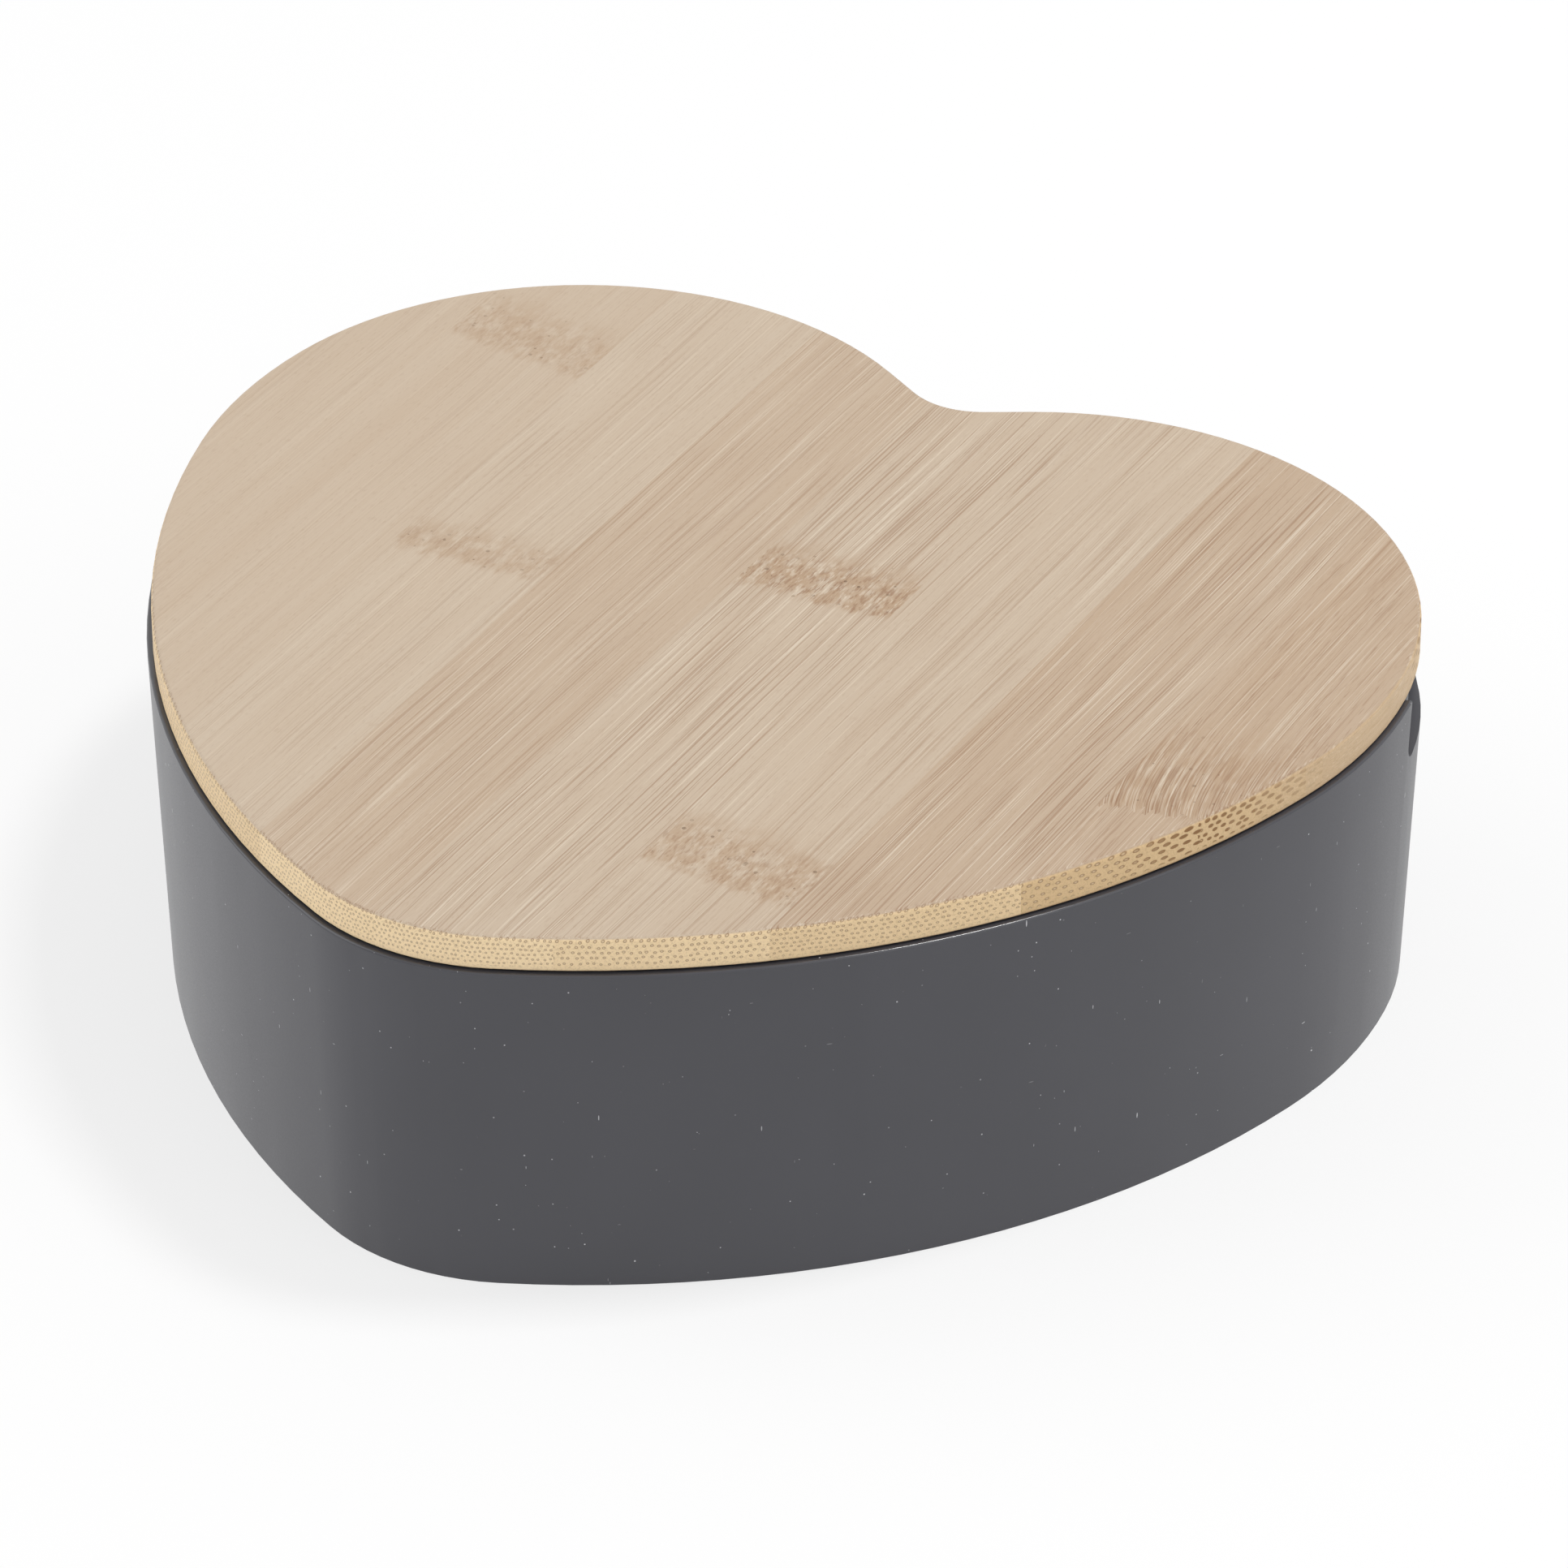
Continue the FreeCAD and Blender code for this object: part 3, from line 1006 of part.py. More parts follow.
    guide = block("guide_block",
                  at(minus(STOP_X, "dims.collar_radius"), minus(WORM_Y, "dims.collar_radius"), BED_TOP),
                  at(plus(STOP_X, "dims.collar_radius"), plus(GUIDE_SCREW_Y, SCREW_LAND), GUIDE_TOP))
    bore = rod("guide_bore", plus("dims.stop_radius", fit), plus("dims.guide_depth", "dims.plate_gap"),
               at(STOP_X, WORM_Y, minus(GUIDE_TOP, "dims.guide_depth", "dims.plate_gap")))
    keep(carve("stop_bracket", guide, bore, taps[6]))


def make_governor():
    place = at(SLEEVE_END, GOVERNOR_Y, GOVERNOR_Z)
    thick = rod("governor_body", "dims.governor_radius", minus(WHEEL_END, SLEEVE_END), place, ALONG_X)
    thin = rod("governor_tail", "dims.governor_pivot", minus(SIDE_END, SLEEVE_END), place, ALONG_X)
    keep(join("governor_arbor", thick, thin))
    # A gap of the pinion and a tooth of the wheel face their partners
    gap_phase = plus(MESH_ANGLE, "180", "180 / dims.governor_teeth")
    wheel("governor_pinion", "dims.governor_teeth", "dims.gear_module", "dims.gear_width",
          "dims.governor_radius", place, ALONG_X, gap_phase)
    wheel("worm_wheel", "dims.wheel_teeth", "dims.gear_module", "dims.gear_width",
          "dims.governor_radius", at(WHEEL_START, GOVERNOR_Y, GOVERNOR_Z), ALONG_X, "90")

    body = new_body("worm_thread")
    section = new_sketch(body, "worm_section", "XZ_Plane")
    root_half = wrap(WORM_PITCH) + " * dims.root_share / 2"
    tip_half = wrap(WORM_PITCH) + " * dims.tip_share / 2"
    sunk = half(WORM_ROOT)
    outline(section, [(sunk, "-" + wrap(root_half)), (WORM_ROOT, "-" + wrap(root_half)),
                      (WORM_TIP, "-" + wrap(tip_half)), (WORM_TIP, tip_half), (WORM_ROOT, root_half),
                      (sunk, root_half)])
    turns = body.newObject("PartDesign::AdditiveHelix", "worm_turns")
    turns.Profile = section
    turns.ReferenceAxis = (origin_part(body, "Z_Axis"), [""])
    turns.Mode = "pitch-turns-angle"
    turns.setExpression("Pitch", WORM_PITCH)
    turns.setExpression("Turns", "dims.worm_turns")
    seat(body, at(WORM_X, WORM_Y, WORM_START))
    core_floor = plus(FOOT_TOP, "dims.plate_gap")
    core = rod("worm_core", WORM_ROOT, minus(ARM_FLOOR, "dims.plate_gap", core_floor),
               at(WORM_X, WORM_Y, core_floor))
    pivot_floor = minus(FOOT_TOP, "2 * dims.worm_pivot")
    pivots = rod("worm_pivots", "dims.worm_pivot", minus(ARM_TOP, pivot_floor),
                 at(WORM_X, WORM_Y, pivot_floor))
    keep(join("worm_shaft", core, pivots, body))

    blade_half = half("dims.fan_blade")
    blades = block("fan_blades", at(minus(WORM_X, "dims.fan_radius"), minus(WORM_Y, blade_half), FAN_FLOOR),
                   at(plus(WORM_X, "dims.fan_radius"), plus(WORM_Y, blade_half), FAN_TOP))
    sweep = rod("fan_sweep", "dims.fan_radius", "dims.fan_height", at(WORM_X, WORM_Y, FAN_FLOOR))
    tips = doc.addObject("Part::Common", "fan_trimmed")
    tips.Base = blades
    tips.Tool = sweep
    hub = rod("fan_hub_blank", "dims.fan_hub", "dims.fan_height", at(WORM_X, WORM_Y, FAN_FLOOR))
    bore = rod("fan_bore", WORM_ROOT, "dims.fan_height", at(WORM_X, WORM_Y, FAN_FLOOR))
    keep(carve("air_fan", join("fan_moulding", tips, hub), bore))


def make_stop():
    rod_floor = minus(GUIDE_TOP, "dims.guide_depth")
    rod_top = minus(TRAY_TOP, "dims.stop_lid_gap", BASE_TOP)
    stem = rod("stop_stem", "dims.stop_radius", minus(rod_top, rod_floor), at(STOP_X, WORM_Y, rod_floor))
    collar = rod("stop_collar", "dims.collar_radius", "dims.collar_height", at(STOP_X, WORM_Y, COLLAR_FLOOR))
    keep(join("stop_plunger", stem, collar))
    eye = rod("arm_eye", "dims.collar_radius", "dims.arm_thickness", at(STOP_X, WORM_Y, COLLAR_TOP))
    reach = minus(WORM_X, "dims.fan_radius", "dims.plate_gap")
    bar = block("arm_bar", at(STOP_X, minus(WORM_Y, half("dims.arm_width")), COLLAR_TOP),
                at(reach, plus(WORM_Y, half("dims.arm_width")), plus(COLLAR_TOP, "dims.arm_thickness")))
    bore = rod("arm_bore", "dims.stop_radius", "dims.arm_thickness", at(STOP_X, WORM_Y, COLLAR_TOP))
    keep(carve("stop_arm", join("arm_blank", eye, bar), bore))

    body = new_body("stop_spring")
    section = new_sketch(body, "coil_section", "XZ_Plane")
    wire = Part.Circle(FreeCAD.Vector(number("dims.coil_radius"), 0, 0), FreeCAD.Vector(0, 0, 1),
                       number("dims.coil_wire"))
    section.addGeometry(wire, False)
    hold(section, "Radius", (0,), "dims.coil_wire")
    hold(section, "DistanceX", (-1, 1, 0, 3), "dims.coil_radius")
    section.addConstraint(Sketcher.Constraint("PointOnObject", 0, 3, -1))
    coil = body.newObject("PartDesign::AdditiveHelix", "coil_turns")
    coil.Profile = section
    coil.ReferenceAxis = (origin_part(body, "Z_Axis"), [""])
    coil.Mode = "height-turns-angle"
    coil.setExpression("Height", minus(COLLAR_FLOOR, GUIDE_TOP, "2 * dims.coil_wire", "dims.plate_gap"))
    coil.setExpression("Turns", "dims.coil_turns")
    seat(body, at(STOP_X, WORM_Y, plus(GUIDE_TOP, "dims.coil_wire")))
    keep(body)

    roof = plus("dims.bay_height", "dims.bay_roof")
    sleeve_floor = plus(COLLAR_TOP, "dims.arm_thickness", "dims.stop_travel", "dims.plate_gap")
    sleeve = rod("bush_sleeve", BUSH_RADIUS, minus(roof, sleeve_floor), at(STOP_X, WORM_Y, sleeve_floor))
    flange = rod("bush_flange", plus(BUSH_RADIUS, "dims.bush_flange"), "dims.bush_flange_height",
                 at(STOP_X, WORM_Y, roof))
    bore = rod("bush_bore", plus("dims.stop_radius", "dims.running_fit"),
               plus(roof, "dims.bush_flange_height"), at(STOP_X, WORM_Y, half(sleeve_floor)))
    keep(carve("stop_bushing", join("bush_blank", sleeve, flange), bore))


make_shell()
make_base()
make_tray()
make_lid()
make_bed()
make_comb()
make_cylinder()
make_barrel()
make_winding()
make_click()
make_frames()
make_governor()
make_stop()
doc.recompute()

failed = [item.Name for item in doc.Objects if "Invalid" in item.State or "Error" in item.State]
if failed:
    raise RuntimeError("failed objects: " + ", ".join(failed))
for piece in pieces:
    if piece.Shape.isNull() or not piece.Shape.isValid() or not piece.Shape.Solids:
        raise RuntimeError("bad shape: " + piece.Label)

os.makedirs("parts", exist_ok=True)
for piece in pieces:
    piece.Shape.exportStep("parts/%s.step" % piece.Label)
    print(piece.Label, len(piece.Shape.Solids), round(piece.Shape.Volume, 2))
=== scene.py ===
"""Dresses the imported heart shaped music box: bamboo lid, satin shell, flocked tray and movement."""

import json
import math

import bmesh
import bpy
from mathutils import Matrix, Vector


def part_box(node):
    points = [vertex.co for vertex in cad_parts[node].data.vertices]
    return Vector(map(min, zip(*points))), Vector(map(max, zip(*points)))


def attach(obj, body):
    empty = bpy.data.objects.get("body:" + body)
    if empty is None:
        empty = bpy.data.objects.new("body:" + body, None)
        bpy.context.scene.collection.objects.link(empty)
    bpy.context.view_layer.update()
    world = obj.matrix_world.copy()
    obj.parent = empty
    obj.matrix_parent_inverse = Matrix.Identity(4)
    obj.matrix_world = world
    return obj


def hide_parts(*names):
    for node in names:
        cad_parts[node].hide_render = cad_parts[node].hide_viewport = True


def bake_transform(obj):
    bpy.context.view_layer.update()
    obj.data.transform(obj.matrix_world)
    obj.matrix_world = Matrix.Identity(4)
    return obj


bl_info = {
    "name": "Heart music box",
    "version": (1, 0, 0),
    "blender": (4, 5, 0),
    "location": "View3D > Sidebar > Music box",
    "description": "Dresses the heart shaped music box and sets its studio",
    "category": "Object",
}

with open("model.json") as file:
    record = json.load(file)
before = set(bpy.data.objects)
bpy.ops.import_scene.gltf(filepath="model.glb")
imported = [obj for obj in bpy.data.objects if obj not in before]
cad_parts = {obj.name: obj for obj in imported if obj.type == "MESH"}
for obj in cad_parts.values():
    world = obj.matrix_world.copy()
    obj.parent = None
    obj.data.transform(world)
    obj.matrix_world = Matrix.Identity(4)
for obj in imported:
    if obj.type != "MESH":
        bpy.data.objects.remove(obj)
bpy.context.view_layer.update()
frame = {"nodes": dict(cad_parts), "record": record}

MM = 0.001


def linear(code):
    """Linear colour of an sRGB hex value."""
    parts = [int(code[i:i + 2], 16) / 255 for i in (1, 3, 5)]
    return [v / 12.92 if v <= 0.04045 else ((v + 0.055) / 1.055) ** 2.4 for v in parts]


def colour_prop(name, description, code):
    return bpy.props.FloatVectorProperty(
        name=name, description=description, subtype="COLOR", size=3, min=0, max=1, default=linear(code))


def length_prop(name, description, size):
    return bpy.props.FloatProperty(name=name, description=description, unit="LENGTH", default=size)


class MusicBoxColours(bpy.types.PropertyGroup):
    """Colours that a user would change."""
    bamboo_pale: colour_prop("Pale bamboo", "Strips of the natural tone", "#cab9a4")
    bamboo_toasted: colour_prop("Toasted bamboo", "Strips steamed a little darker", "#b79c81")
    bamboo_line: colour_prop("Bamboo fibre", "Thin fibre lines along a strip", "#926d4f")
    bamboo_fleck: colour_prop("Bamboo fleck", "Light fibres and flecks", "#e2d4c0")
    bamboo_mark: colour_prop("Bamboo joint", "Mottled band where the cane had a joint", "#ae9072")
    # Painted shade in the small holes of a joint
    bamboo_pit_shade: colour_prop("Bamboo pit", "Small holes in a joint", "#6a5138")
    bamboo_end: colour_prop("Bamboo end grain", "Cut edge of the pale strips", "#ffe5ba")
    bamboo_end_toasted: colour_prop("Toasted end grain", "Cut edge of the toasted strips", "#c8a676")
    # Bundle tone, also the painted shade at the walls of the pits and inside the open holes
    bamboo_bundle_and_shade: colour_prop("Fibre bundle", "Dots in the end grain", "#7d5221")
    shell_grey: colour_prop("Shell", "Moulded outer wall", "#424248")
    dust: colour_prop("Dust", "Specks and lint on the wall", "#d2d2d6")
    tray_black: colour_prop("Tray", "Flock on the inner tray", "#2b2b2e")
    base_grey: colour_prop("Base", "Moulded base plate", "#333337")
    brass: colour_prop("Brass", "Turned brass of the movement", "#c9a35a")
    steel: colour_prop("Steel", "Turned and ground steel", "#b9babb")
    zinc: colour_prop("Zinc", "Die cast frames", "#a3a4a4")
    blued: colour_prop("Blued spring", "Tempered spring steel", "#4a5364")
    nickel: colour_prop("Nickel", "Plating of the winding key", "#cdc8bd")
    nylon: colour_prop("Nylon", "Moulded air fan", "#e6e3d8")
    floor_white: colour_prop("Floor", "Matt studio floor", "#fbfbfb")


class MusicBoxSizes(bpy.types.PropertyGroup):
    """Sizes that a user would change."""
    strip_width: length_prop("Strip width", "One bamboo strip of the board", 24.84 * MM)
    first_joint: length_prop("First joint", "A glue line, across the board from its middle", -52.4 * MM)
    seam_width: length_prop("Seam width", "Half of the eased groove along a glue line", 0.09 * MM)
    seam_depth: length_prop("Seam depth", "Depth of that groove", 0.02 * MM)
    moulded_edge: length_prop("Moulded edge", "Rounding of moulded plastic edges", 0.35 * MM)
    rim_edge: length_prop("Rim edge", "Rounding of the shell's hard edges", 0.45 * MM)
    cast_edge: length_prop("Cast edge", "Rounding of cast metal edges", 0.22 * MM)
    turned_edge: length_prop("Turned edge", "Edge break on turned metal", 0.1 * MM)
    key_edge: length_prop("Key edge", "Rounding of the winding key's edges", 0.44 * MM)
    floor_span: length_prop("Floor", "Width of the studio floor", 6.0)
    floor_drop: length_prop("Floor drop", "Floor below the shell's lower edge", 0.05 * MM)
    camera_distance: length_prop("Camera distance", "From the aimed point", 1.3088)
    camera_lens: bpy.props.FloatProperty(
        name="Lens", description="Focal length on a 36 mm sensor", unit="CAMERA", default=202.05)
    camera_heading: bpy.props.FloatProperty(
        name="Heading", description="Camera round the box", subtype="ANGLE", default=math.radians(29.335))
    camera_rise: bpy.props.FloatProperty(
        name="Rise", description="Camera above the table", subtype="ANGLE", default=math.radians(32.886))
    camera_aim: bpy.props.FloatVectorProperty(
        name="Aim", description="Point in the middle of the picture", subtype="XYZ", unit="LENGTH",
        default=(4.44 * MM, 16.62 * MM, 25.03 * MM))


# Materials

def add(tree, kind, settings=None, inputs=None):
    """Adds a shader node, sets it, and fills or links its sockets."""
    item = tree.nodes.new("ShaderNode" + kind)
    for key, value in (settings or {}).items():
        setattr(item, key, value)
    for key, value in (inputs or {}).items():
        if isinstance(value, bpy.types.NodeSocket):
            tree.links.new(value, item.inputs[key])
        else:
            item.inputs[key].default_value = value
    return item


def new_material(name):
    """Empty material with a Principled shader: material, tree, shader, place in millimetres."""
    material = bpy.data.materials.new(name)
    material.use_nodes = True
    tree = material.node_tree
    tree.nodes.clear()
    shader = add(tree, "BsdfPrincipled")
    add(tree, "OutputMaterial", inputs={"Surface": shader.outputs[0]})
    here = add(tree, "TexCoord").outputs["Object"]
    scale = (1 / MM, 1 / MM, 1 / MM)
    place = add(tree, "VectorMath", {"operation": "MULTIPLY"}, {0: here, 1: scale})
    return material, tree, shader, place.outputs[0]


def rgba(colour):
    return (*colour, 1.0)


def tinted(tree, base, layers):
    """Lays colours over a base; a layer is a mask, its share and its colour."""
    for mask, share, colour in layers:
        weight = add(tree, "Math", {"operation": "MULTIPLY"}, {0: mask, 1: share}).outputs[0]
        base = add(tree, "Mix", {"data_type": "RGBA"}, {0: weight, 6: base, 7: rgba(colour)}).outputs[2]
    return base


# Bamboo: what differs from strip to strip, from the left of the board to the right
# How toasted a strip is
STRIP_TOAST = (0.24, 0.24, 0.16, 0.47, 0.26, 0.24, 0.62, 0.72)
# How strong its fibre lines are
STRIP_LINES = (0.25, 0.25, 0.5, 0.8, 1.1, 0.75, 1.2, 0.9)
# How dark its cut edge is
STRIP_END = (0.35, 0.35, 0.3, 0.1, 0.06, 0.18, 0.38, 0.7)
# How far apart its fibre bundles are, in millimetres
STRIP_BUNDLES = (0.8, 0.8, 0.7, 0.7, 0.75, 0.9, 0.74, 1.0)
# How many strips lie left of the first joint
STRIPS_BEFORE = 2
# How far from each other the patterns of two canes may start, in millimetres
CANE_SHIFT = (90, 900, 40)

# Fibres wander to both sides: the size of a bend, and its reach to each side, in millimetres
WANDER_SIZE = (30, 70, 30)
WANDER = 0.9
# Noise along the fibres: its name, its size across and along them in millimetres, and its detail
FIBRE_FIELDS = (
    ("band", 7.0, 160, 1.0), ("streak", 1.2, 110, 2.0), ("hair", 0.2, 30, 1.0), ("line", 0.27, 70, 0.0),
    ("gap", 2.6, 40, 1.0), ("pale", 0.23, 45, 1.0), ("pore", 0.2, 1.6, 0.0), ("stroke", 0.5, 2.1, 2.0),
    ("flame", 0.23, 7.0, 1.0), ("dash", 0.24, 7.0, 1.0), ("mottle", 0.28, 0.28, 2.0),
    ("fray", 0.9, 7.0, 2.0), ("blot", 2.2, 4.0, 2.0))
FIELD_ROUGHNESS = 0.6
# Masks cut from it: name, field, where the mask starts and where it is full
FIBRE_MASKS = (
    ("hair", "hair", 0.56, 0.72), ("line", "line", 0.58, 0.68), ("gap", "gap", 0.42, 0.56),
    ("pale", "pale", 0.56, 0.7), ("pore", "pore", 0.62, 0.74), ("dark_stroke", "stroke", 0.53, 0.64),
    ("light_stroke", "stroke", 0.44, 0.34), ("blot", "blot", 0.3, 0.62), ("mottle", "mottle", 0.45, 0.7))
# The last strip has thin flames for strokes, dashes for lines, and a weaker blot by this share
LAST_STRIP_FIELDS = (("stroke", "flame"), ("line", "dash"))
LAST_STRIP_BLOT = -0.3
# How much slow bands and streaks change a strip's tone
BAND_TONE = 0.3
STREAK_TONE = 0.25
# Shares of light fibres, flared grain, fibre lines and pores in the colour of the face
PALE_SHARE = 0.5
FLARE_SHARE = 0.2
LINE_SHARE = 0.45
PORE_SHARE = 0.12

# Where a cane had a joint, in millimetres: across the board, its front along the board, its depth;
# then its tilt and its strength
CANE_JOINTS = (
    (-64.8, 55.0, 17.0, -0.12, 0.6), (-40.0, -1.0, 11.5, 0.08, 0.6), (9.7, 14.8, 15.5, 0.05, 1.0),
    (34.5, -57.0, 17.0, -0.05, 0.78), (84.2, -10.0, 27.0, 0.22, 0.9))
# From none to full at a joint's front, in millimetres, and at its back, in shares of its depth
JOINT_FRONT = (-1.0, 1.5)
JOINT_BACK = (1.1, 0.45)
# How far its ends are frayed each way, in millimetres
FRAY = 2.5
# Shares of the blot, the strokes and the painted shade of the pits in a joint's colour
BLOT_SHARE = 0.75
DARK_STROKE_SHARE = 0.6
LIGHT_STROKE_SHARE = 0.42
PIT_SHADE_SHARE = 0.85
# Pits: their spacing in millimetres, largest radius in shares of that, and the share of spots without one
PIT_SPACING = 2.4
PIT_RADIUS = 0.14
PIT_NONE = 0.45
# Flared grain behind the last joint: how soon it straightens, how far it leans, the size of the jags of its
# front and their reach each way, in millimetres
FLARE_LENGTH = 12.0
FLARE_LEAN = 4.5
JAG_SIZE = (0.7, 5, 0.7)
JAG = 2.5

# How far fibre bundles stray from even rows, in shares of a row
BUNDLE_STRAY = 0.36
# Their radius at the lower and the upper face, in shares of their spacing
BUNDLE_RADIUS = (0.23, 0.3)
# From its middle out, how dark a bundle is drawn: share of its radius, shade
# The dark ring is partly the bundle's darker fibre and partly painted shade at the wall of its pit
BUNDLE_TONE_AND_SHADE = ((0.0, 0.15), (0.3, 0.25), (0.62, 1.0), (0.8, 0.9), (1.0, 0.0))
# Edge of its pith, from none to full, in shares of its radius
PITH = (0.9, 0.6)
# Where the bundles of the last strip turn into open holes, in millimetres across the board, and how much
# wider they then are
OPEN_BUNDLES = (77.0, 86.0)
OPEN_WIDER = 0.25
# Shares of closed bundles, of the painted shade in open ones, of a closed one's light pith and of mottling
# in the cut edge's colour
CLOSED_SHARE = 0.63
OPEN_HOLE_SHADE = 0.9
PITH_SHARE = 0.3
MOTTLE_SHARE = 0.2
# Plain inner cane above the lower face, in millimetres, from no bundles to all
PLAIN_CANE = (0.5, 1.0)
# How far a face looks along the fibres, from none of the bundles showing to all, and the end tone kept there
CROSS_CUT = (0.15, 0.4)
LONG_CUT_TONE = 0.5
# How far a face looks up, from top face to cut edge
EDGE_TURN = (0.8, 0.5)
# Relief of lines, pits and bundles in millimetres, its strength, and the share of the lines in it
BOARD_RELIEF = 0.08
BOARD_RELIEF_STRENGTH = 0.4
LINE_RELIEF = 0.5
# Roughness between the streaks and on them
BOARD_ROUGHNESS = (0.46, 0.6)
# Range of values that most noise stays in
NOISE_RANGE = (0.3, 0.7)


def strip_values(tree, across):
    """What differs from strip to strip: toast, line strength, end tone and bundle spacing."""
    values = []
    for shares in (STRIP_TOAST, STRIP_LINES, STRIP_END, STRIP_BUNDLES):
        ramp = add(tree, "ValToRGB", inputs={0: across})
        ramp.color_ramp.interpolation = "CONSTANT"
        steps = ramp.color_ramp.elements
        while len(steps) < len(shares):
            steps.new(1.0)
        for i, share in enumerate(shares):
            steps[i].position = i / len(shares)
            steps[i].color = (share, share, share, 1)
        values.append(ramp.outputs[0])
    return values


def leaning_fibres(tree, own, xyz, pitch):
    """Place along the fibres, the flare behind the last joint, and whether this is the last strip."""
    middle, front, _, tilt, _ = CANE_JOINTS[-1]
    noise = []
    for size, detail in ((WANDER_SIZE, 1.0), (JAG_SIZE, 2.0)):
        sized = add(tree, "VectorMath", {"operation": "DIVIDE"}, {0: own, 1: size}).outputs[0]
        noise.append(add(tree, "TexNoise", inputs={
            "Vector": sized, "Scale": 1.0, "Detail": detail}).outputs[0])
    wander, jag = noise
    bend = add(tree, "Math", {"operation": "MULTIPLY_ADD"}, {
        0: wander, 1: 2 * WANDER, 2: -WANDER}).outputs[0]
    behind = add(tree, "Math", {"operation": "MULTIPLY_ADD"}, {0: xyz[0], 1: -tilt, 2: xyz[1]}).outputs[0]
    behind = add(tree, "Math", {"operation": "SUBTRACT"}, {0: behind, 1: front - tilt * middle}).outputs[0]
    jagged = add(tree, "Math", {"operation": "MULTIPLY_ADD"}, {0: jag, 1: 2 * JAG, 2: behind}).outputs[0]
    fade = add(tree, "Math", {"operation": "DIVIDE"}, {0: behind, 1: -FLARE_LENGTH}).outputs[0]
    fade = add(tree, "Math", {"operation": "EXPONENT"}, {0: fade}).outputs[0]
    last = add(tree, "Math", {"operation": "COMPARE"}, {0: xyz[0], 1: middle, 2: 0.5 * pitch}).outputs[0]
    flare = add(tree, "Math", {"operation": "GREATER_THAN"}, {0: jagged, 1: JAG}).outputs[0]
    for mask in (fade, last):
        flare = add(tree, "Math", {"operation": "MULTIPLY"}, {0: flare, 1: mask}).outputs[0]
    bend = add(tree, "Math", {"operation": "MULTIPLY_ADD"}, {0: flare, 1: -FLARE_LEAN, 2: bend}).outputs[0]
    sideways = add(tree, "CombineXYZ", inputs={0: bend}).outputs[0]
    bent = add(tree, "VectorMath", {"operation": "ADD"}, {0: own, 1: sideways}).outputs[0]
    return bent, flare, last


def fibre_masks(tree, bent, last):
    """Noise drawn out along the fibres, and the masks cut from it."""
    fields = {}
    for name, width, length, detail in FIBRE_FIELDS:
        sized = add(tree, "VectorMath", {"operation": "DIVIDE"}, {
            0: bent, 1: (width, length, width)}).outputs[0]
        fields[name] = add(tree, "TexNoise", inputs={
            "Vector": sized, "Scale": 1.0, "Detail": detail, "Roughness": FIELD_ROUGHNESS}).outputs[0]
    for name, other in LAST_STRIP_FIELDS:
        fields[name] = add(tree, "Mix", {"data_type": "FLOAT"}, {
            0: last, 2: fields[name], 3: fields[other]}).outputs[0]
    masks = {}
    for name, field, start, full in FIBRE_MASKS:
        masks[name] = add(tree, "MapRange", {"interpolation_type": "SMOOTHSTEP"}, {
            "Value": fields[field], "From Min": start, "From Max": full}).outputs[0]
    faint = add(tree, "Math", {"operation": "MULTIPLY_ADD"}, {
        0: last, 1: LAST_STRIP_BLOT, 2: 1.0}).outputs[0]
    masks["blot"] = add(tree, "Math", {"operation": "MULTIPLY"}, {0: masks["blot"], 1: faint}).outputs[0]
    return fields, masks


def joint_marks(tree, xyz, fray, pitch):
    """Bands across single strips, frayed along the fibres, where the cane had a joint."""
    frayed = add(tree, "Math", {"operation": "MULTIPLY_ADD"}, {0: fray, 1: 2 * FRAY, 2: -FRAY}).outputs[0]
    frayed = add(tree, "Math", {"operation": "ADD"}, {0: xyz[1], 1: frayed}).outputs[0]
    marks = None
    for middle, front, depth, tilt, strength in CANE_JOINTS:
        aside = add(tree, "Math", {"operation": "SUBTRACT"}, {0: xyz[0], 1: middle}).outputs[0]
        off = add(tree, "Math", {"operation": "MULTIPLY_ADD"}, {0: aside, 1: -tilt, 2: frayed}).outputs[0]
        mark = add(tree, "Math", {"operation": "COMPARE"}, {0: aside, 1: 0.0, 2: 0.5 * pitch}).outputs[0]
        ends = ([front + step for step in JOINT_FRONT], [front + share * depth for share in JOINT_BACK])
        for none, full in ends:
            side = add(tree, "MapRange", {"interpolation_type": "SMOOTHSTEP"}, {
                "Value": off, "From Min": none, "From Max": full, "To Max": strength}).outputs[0]
            mark = add(tree, "Math", {"operation": "MINIMUM"}, {0: mark, 1: side}).outputs[0]
        if marks:
            mark = add(tree, "Math", {"operation": "MAXIMUM"}, {0: marks, 1: mark}).outputs[0]
        marks = mark
    return marks


def joint_pits(tree, place):
    """Small round holes scattered over the board, of which only those in a joint are shown."""
    scatter = add(tree, "TexVoronoi", {"voronoi_dimensions": "2D"}, {
        "Vector": place, "Scale": 1 / PIT_SPACING, "Randomness": 1.0}).outputs
    pick = add(tree, "SeparateColor", inputs={0: scatter["Color"]}).outputs[0]
    radius = add(tree, "MapRange", inputs={
        "Value": pick, "From Min": PIT_NONE, "From Max": 1.0,
        "To Min": 0.0, "To Max": PIT_RADIUS}).outputs[0]
    return add(tree, "Math", {"operation": "LESS_THAN"}, {0: scatter["Distance"], 1: radius}).outputs[0]


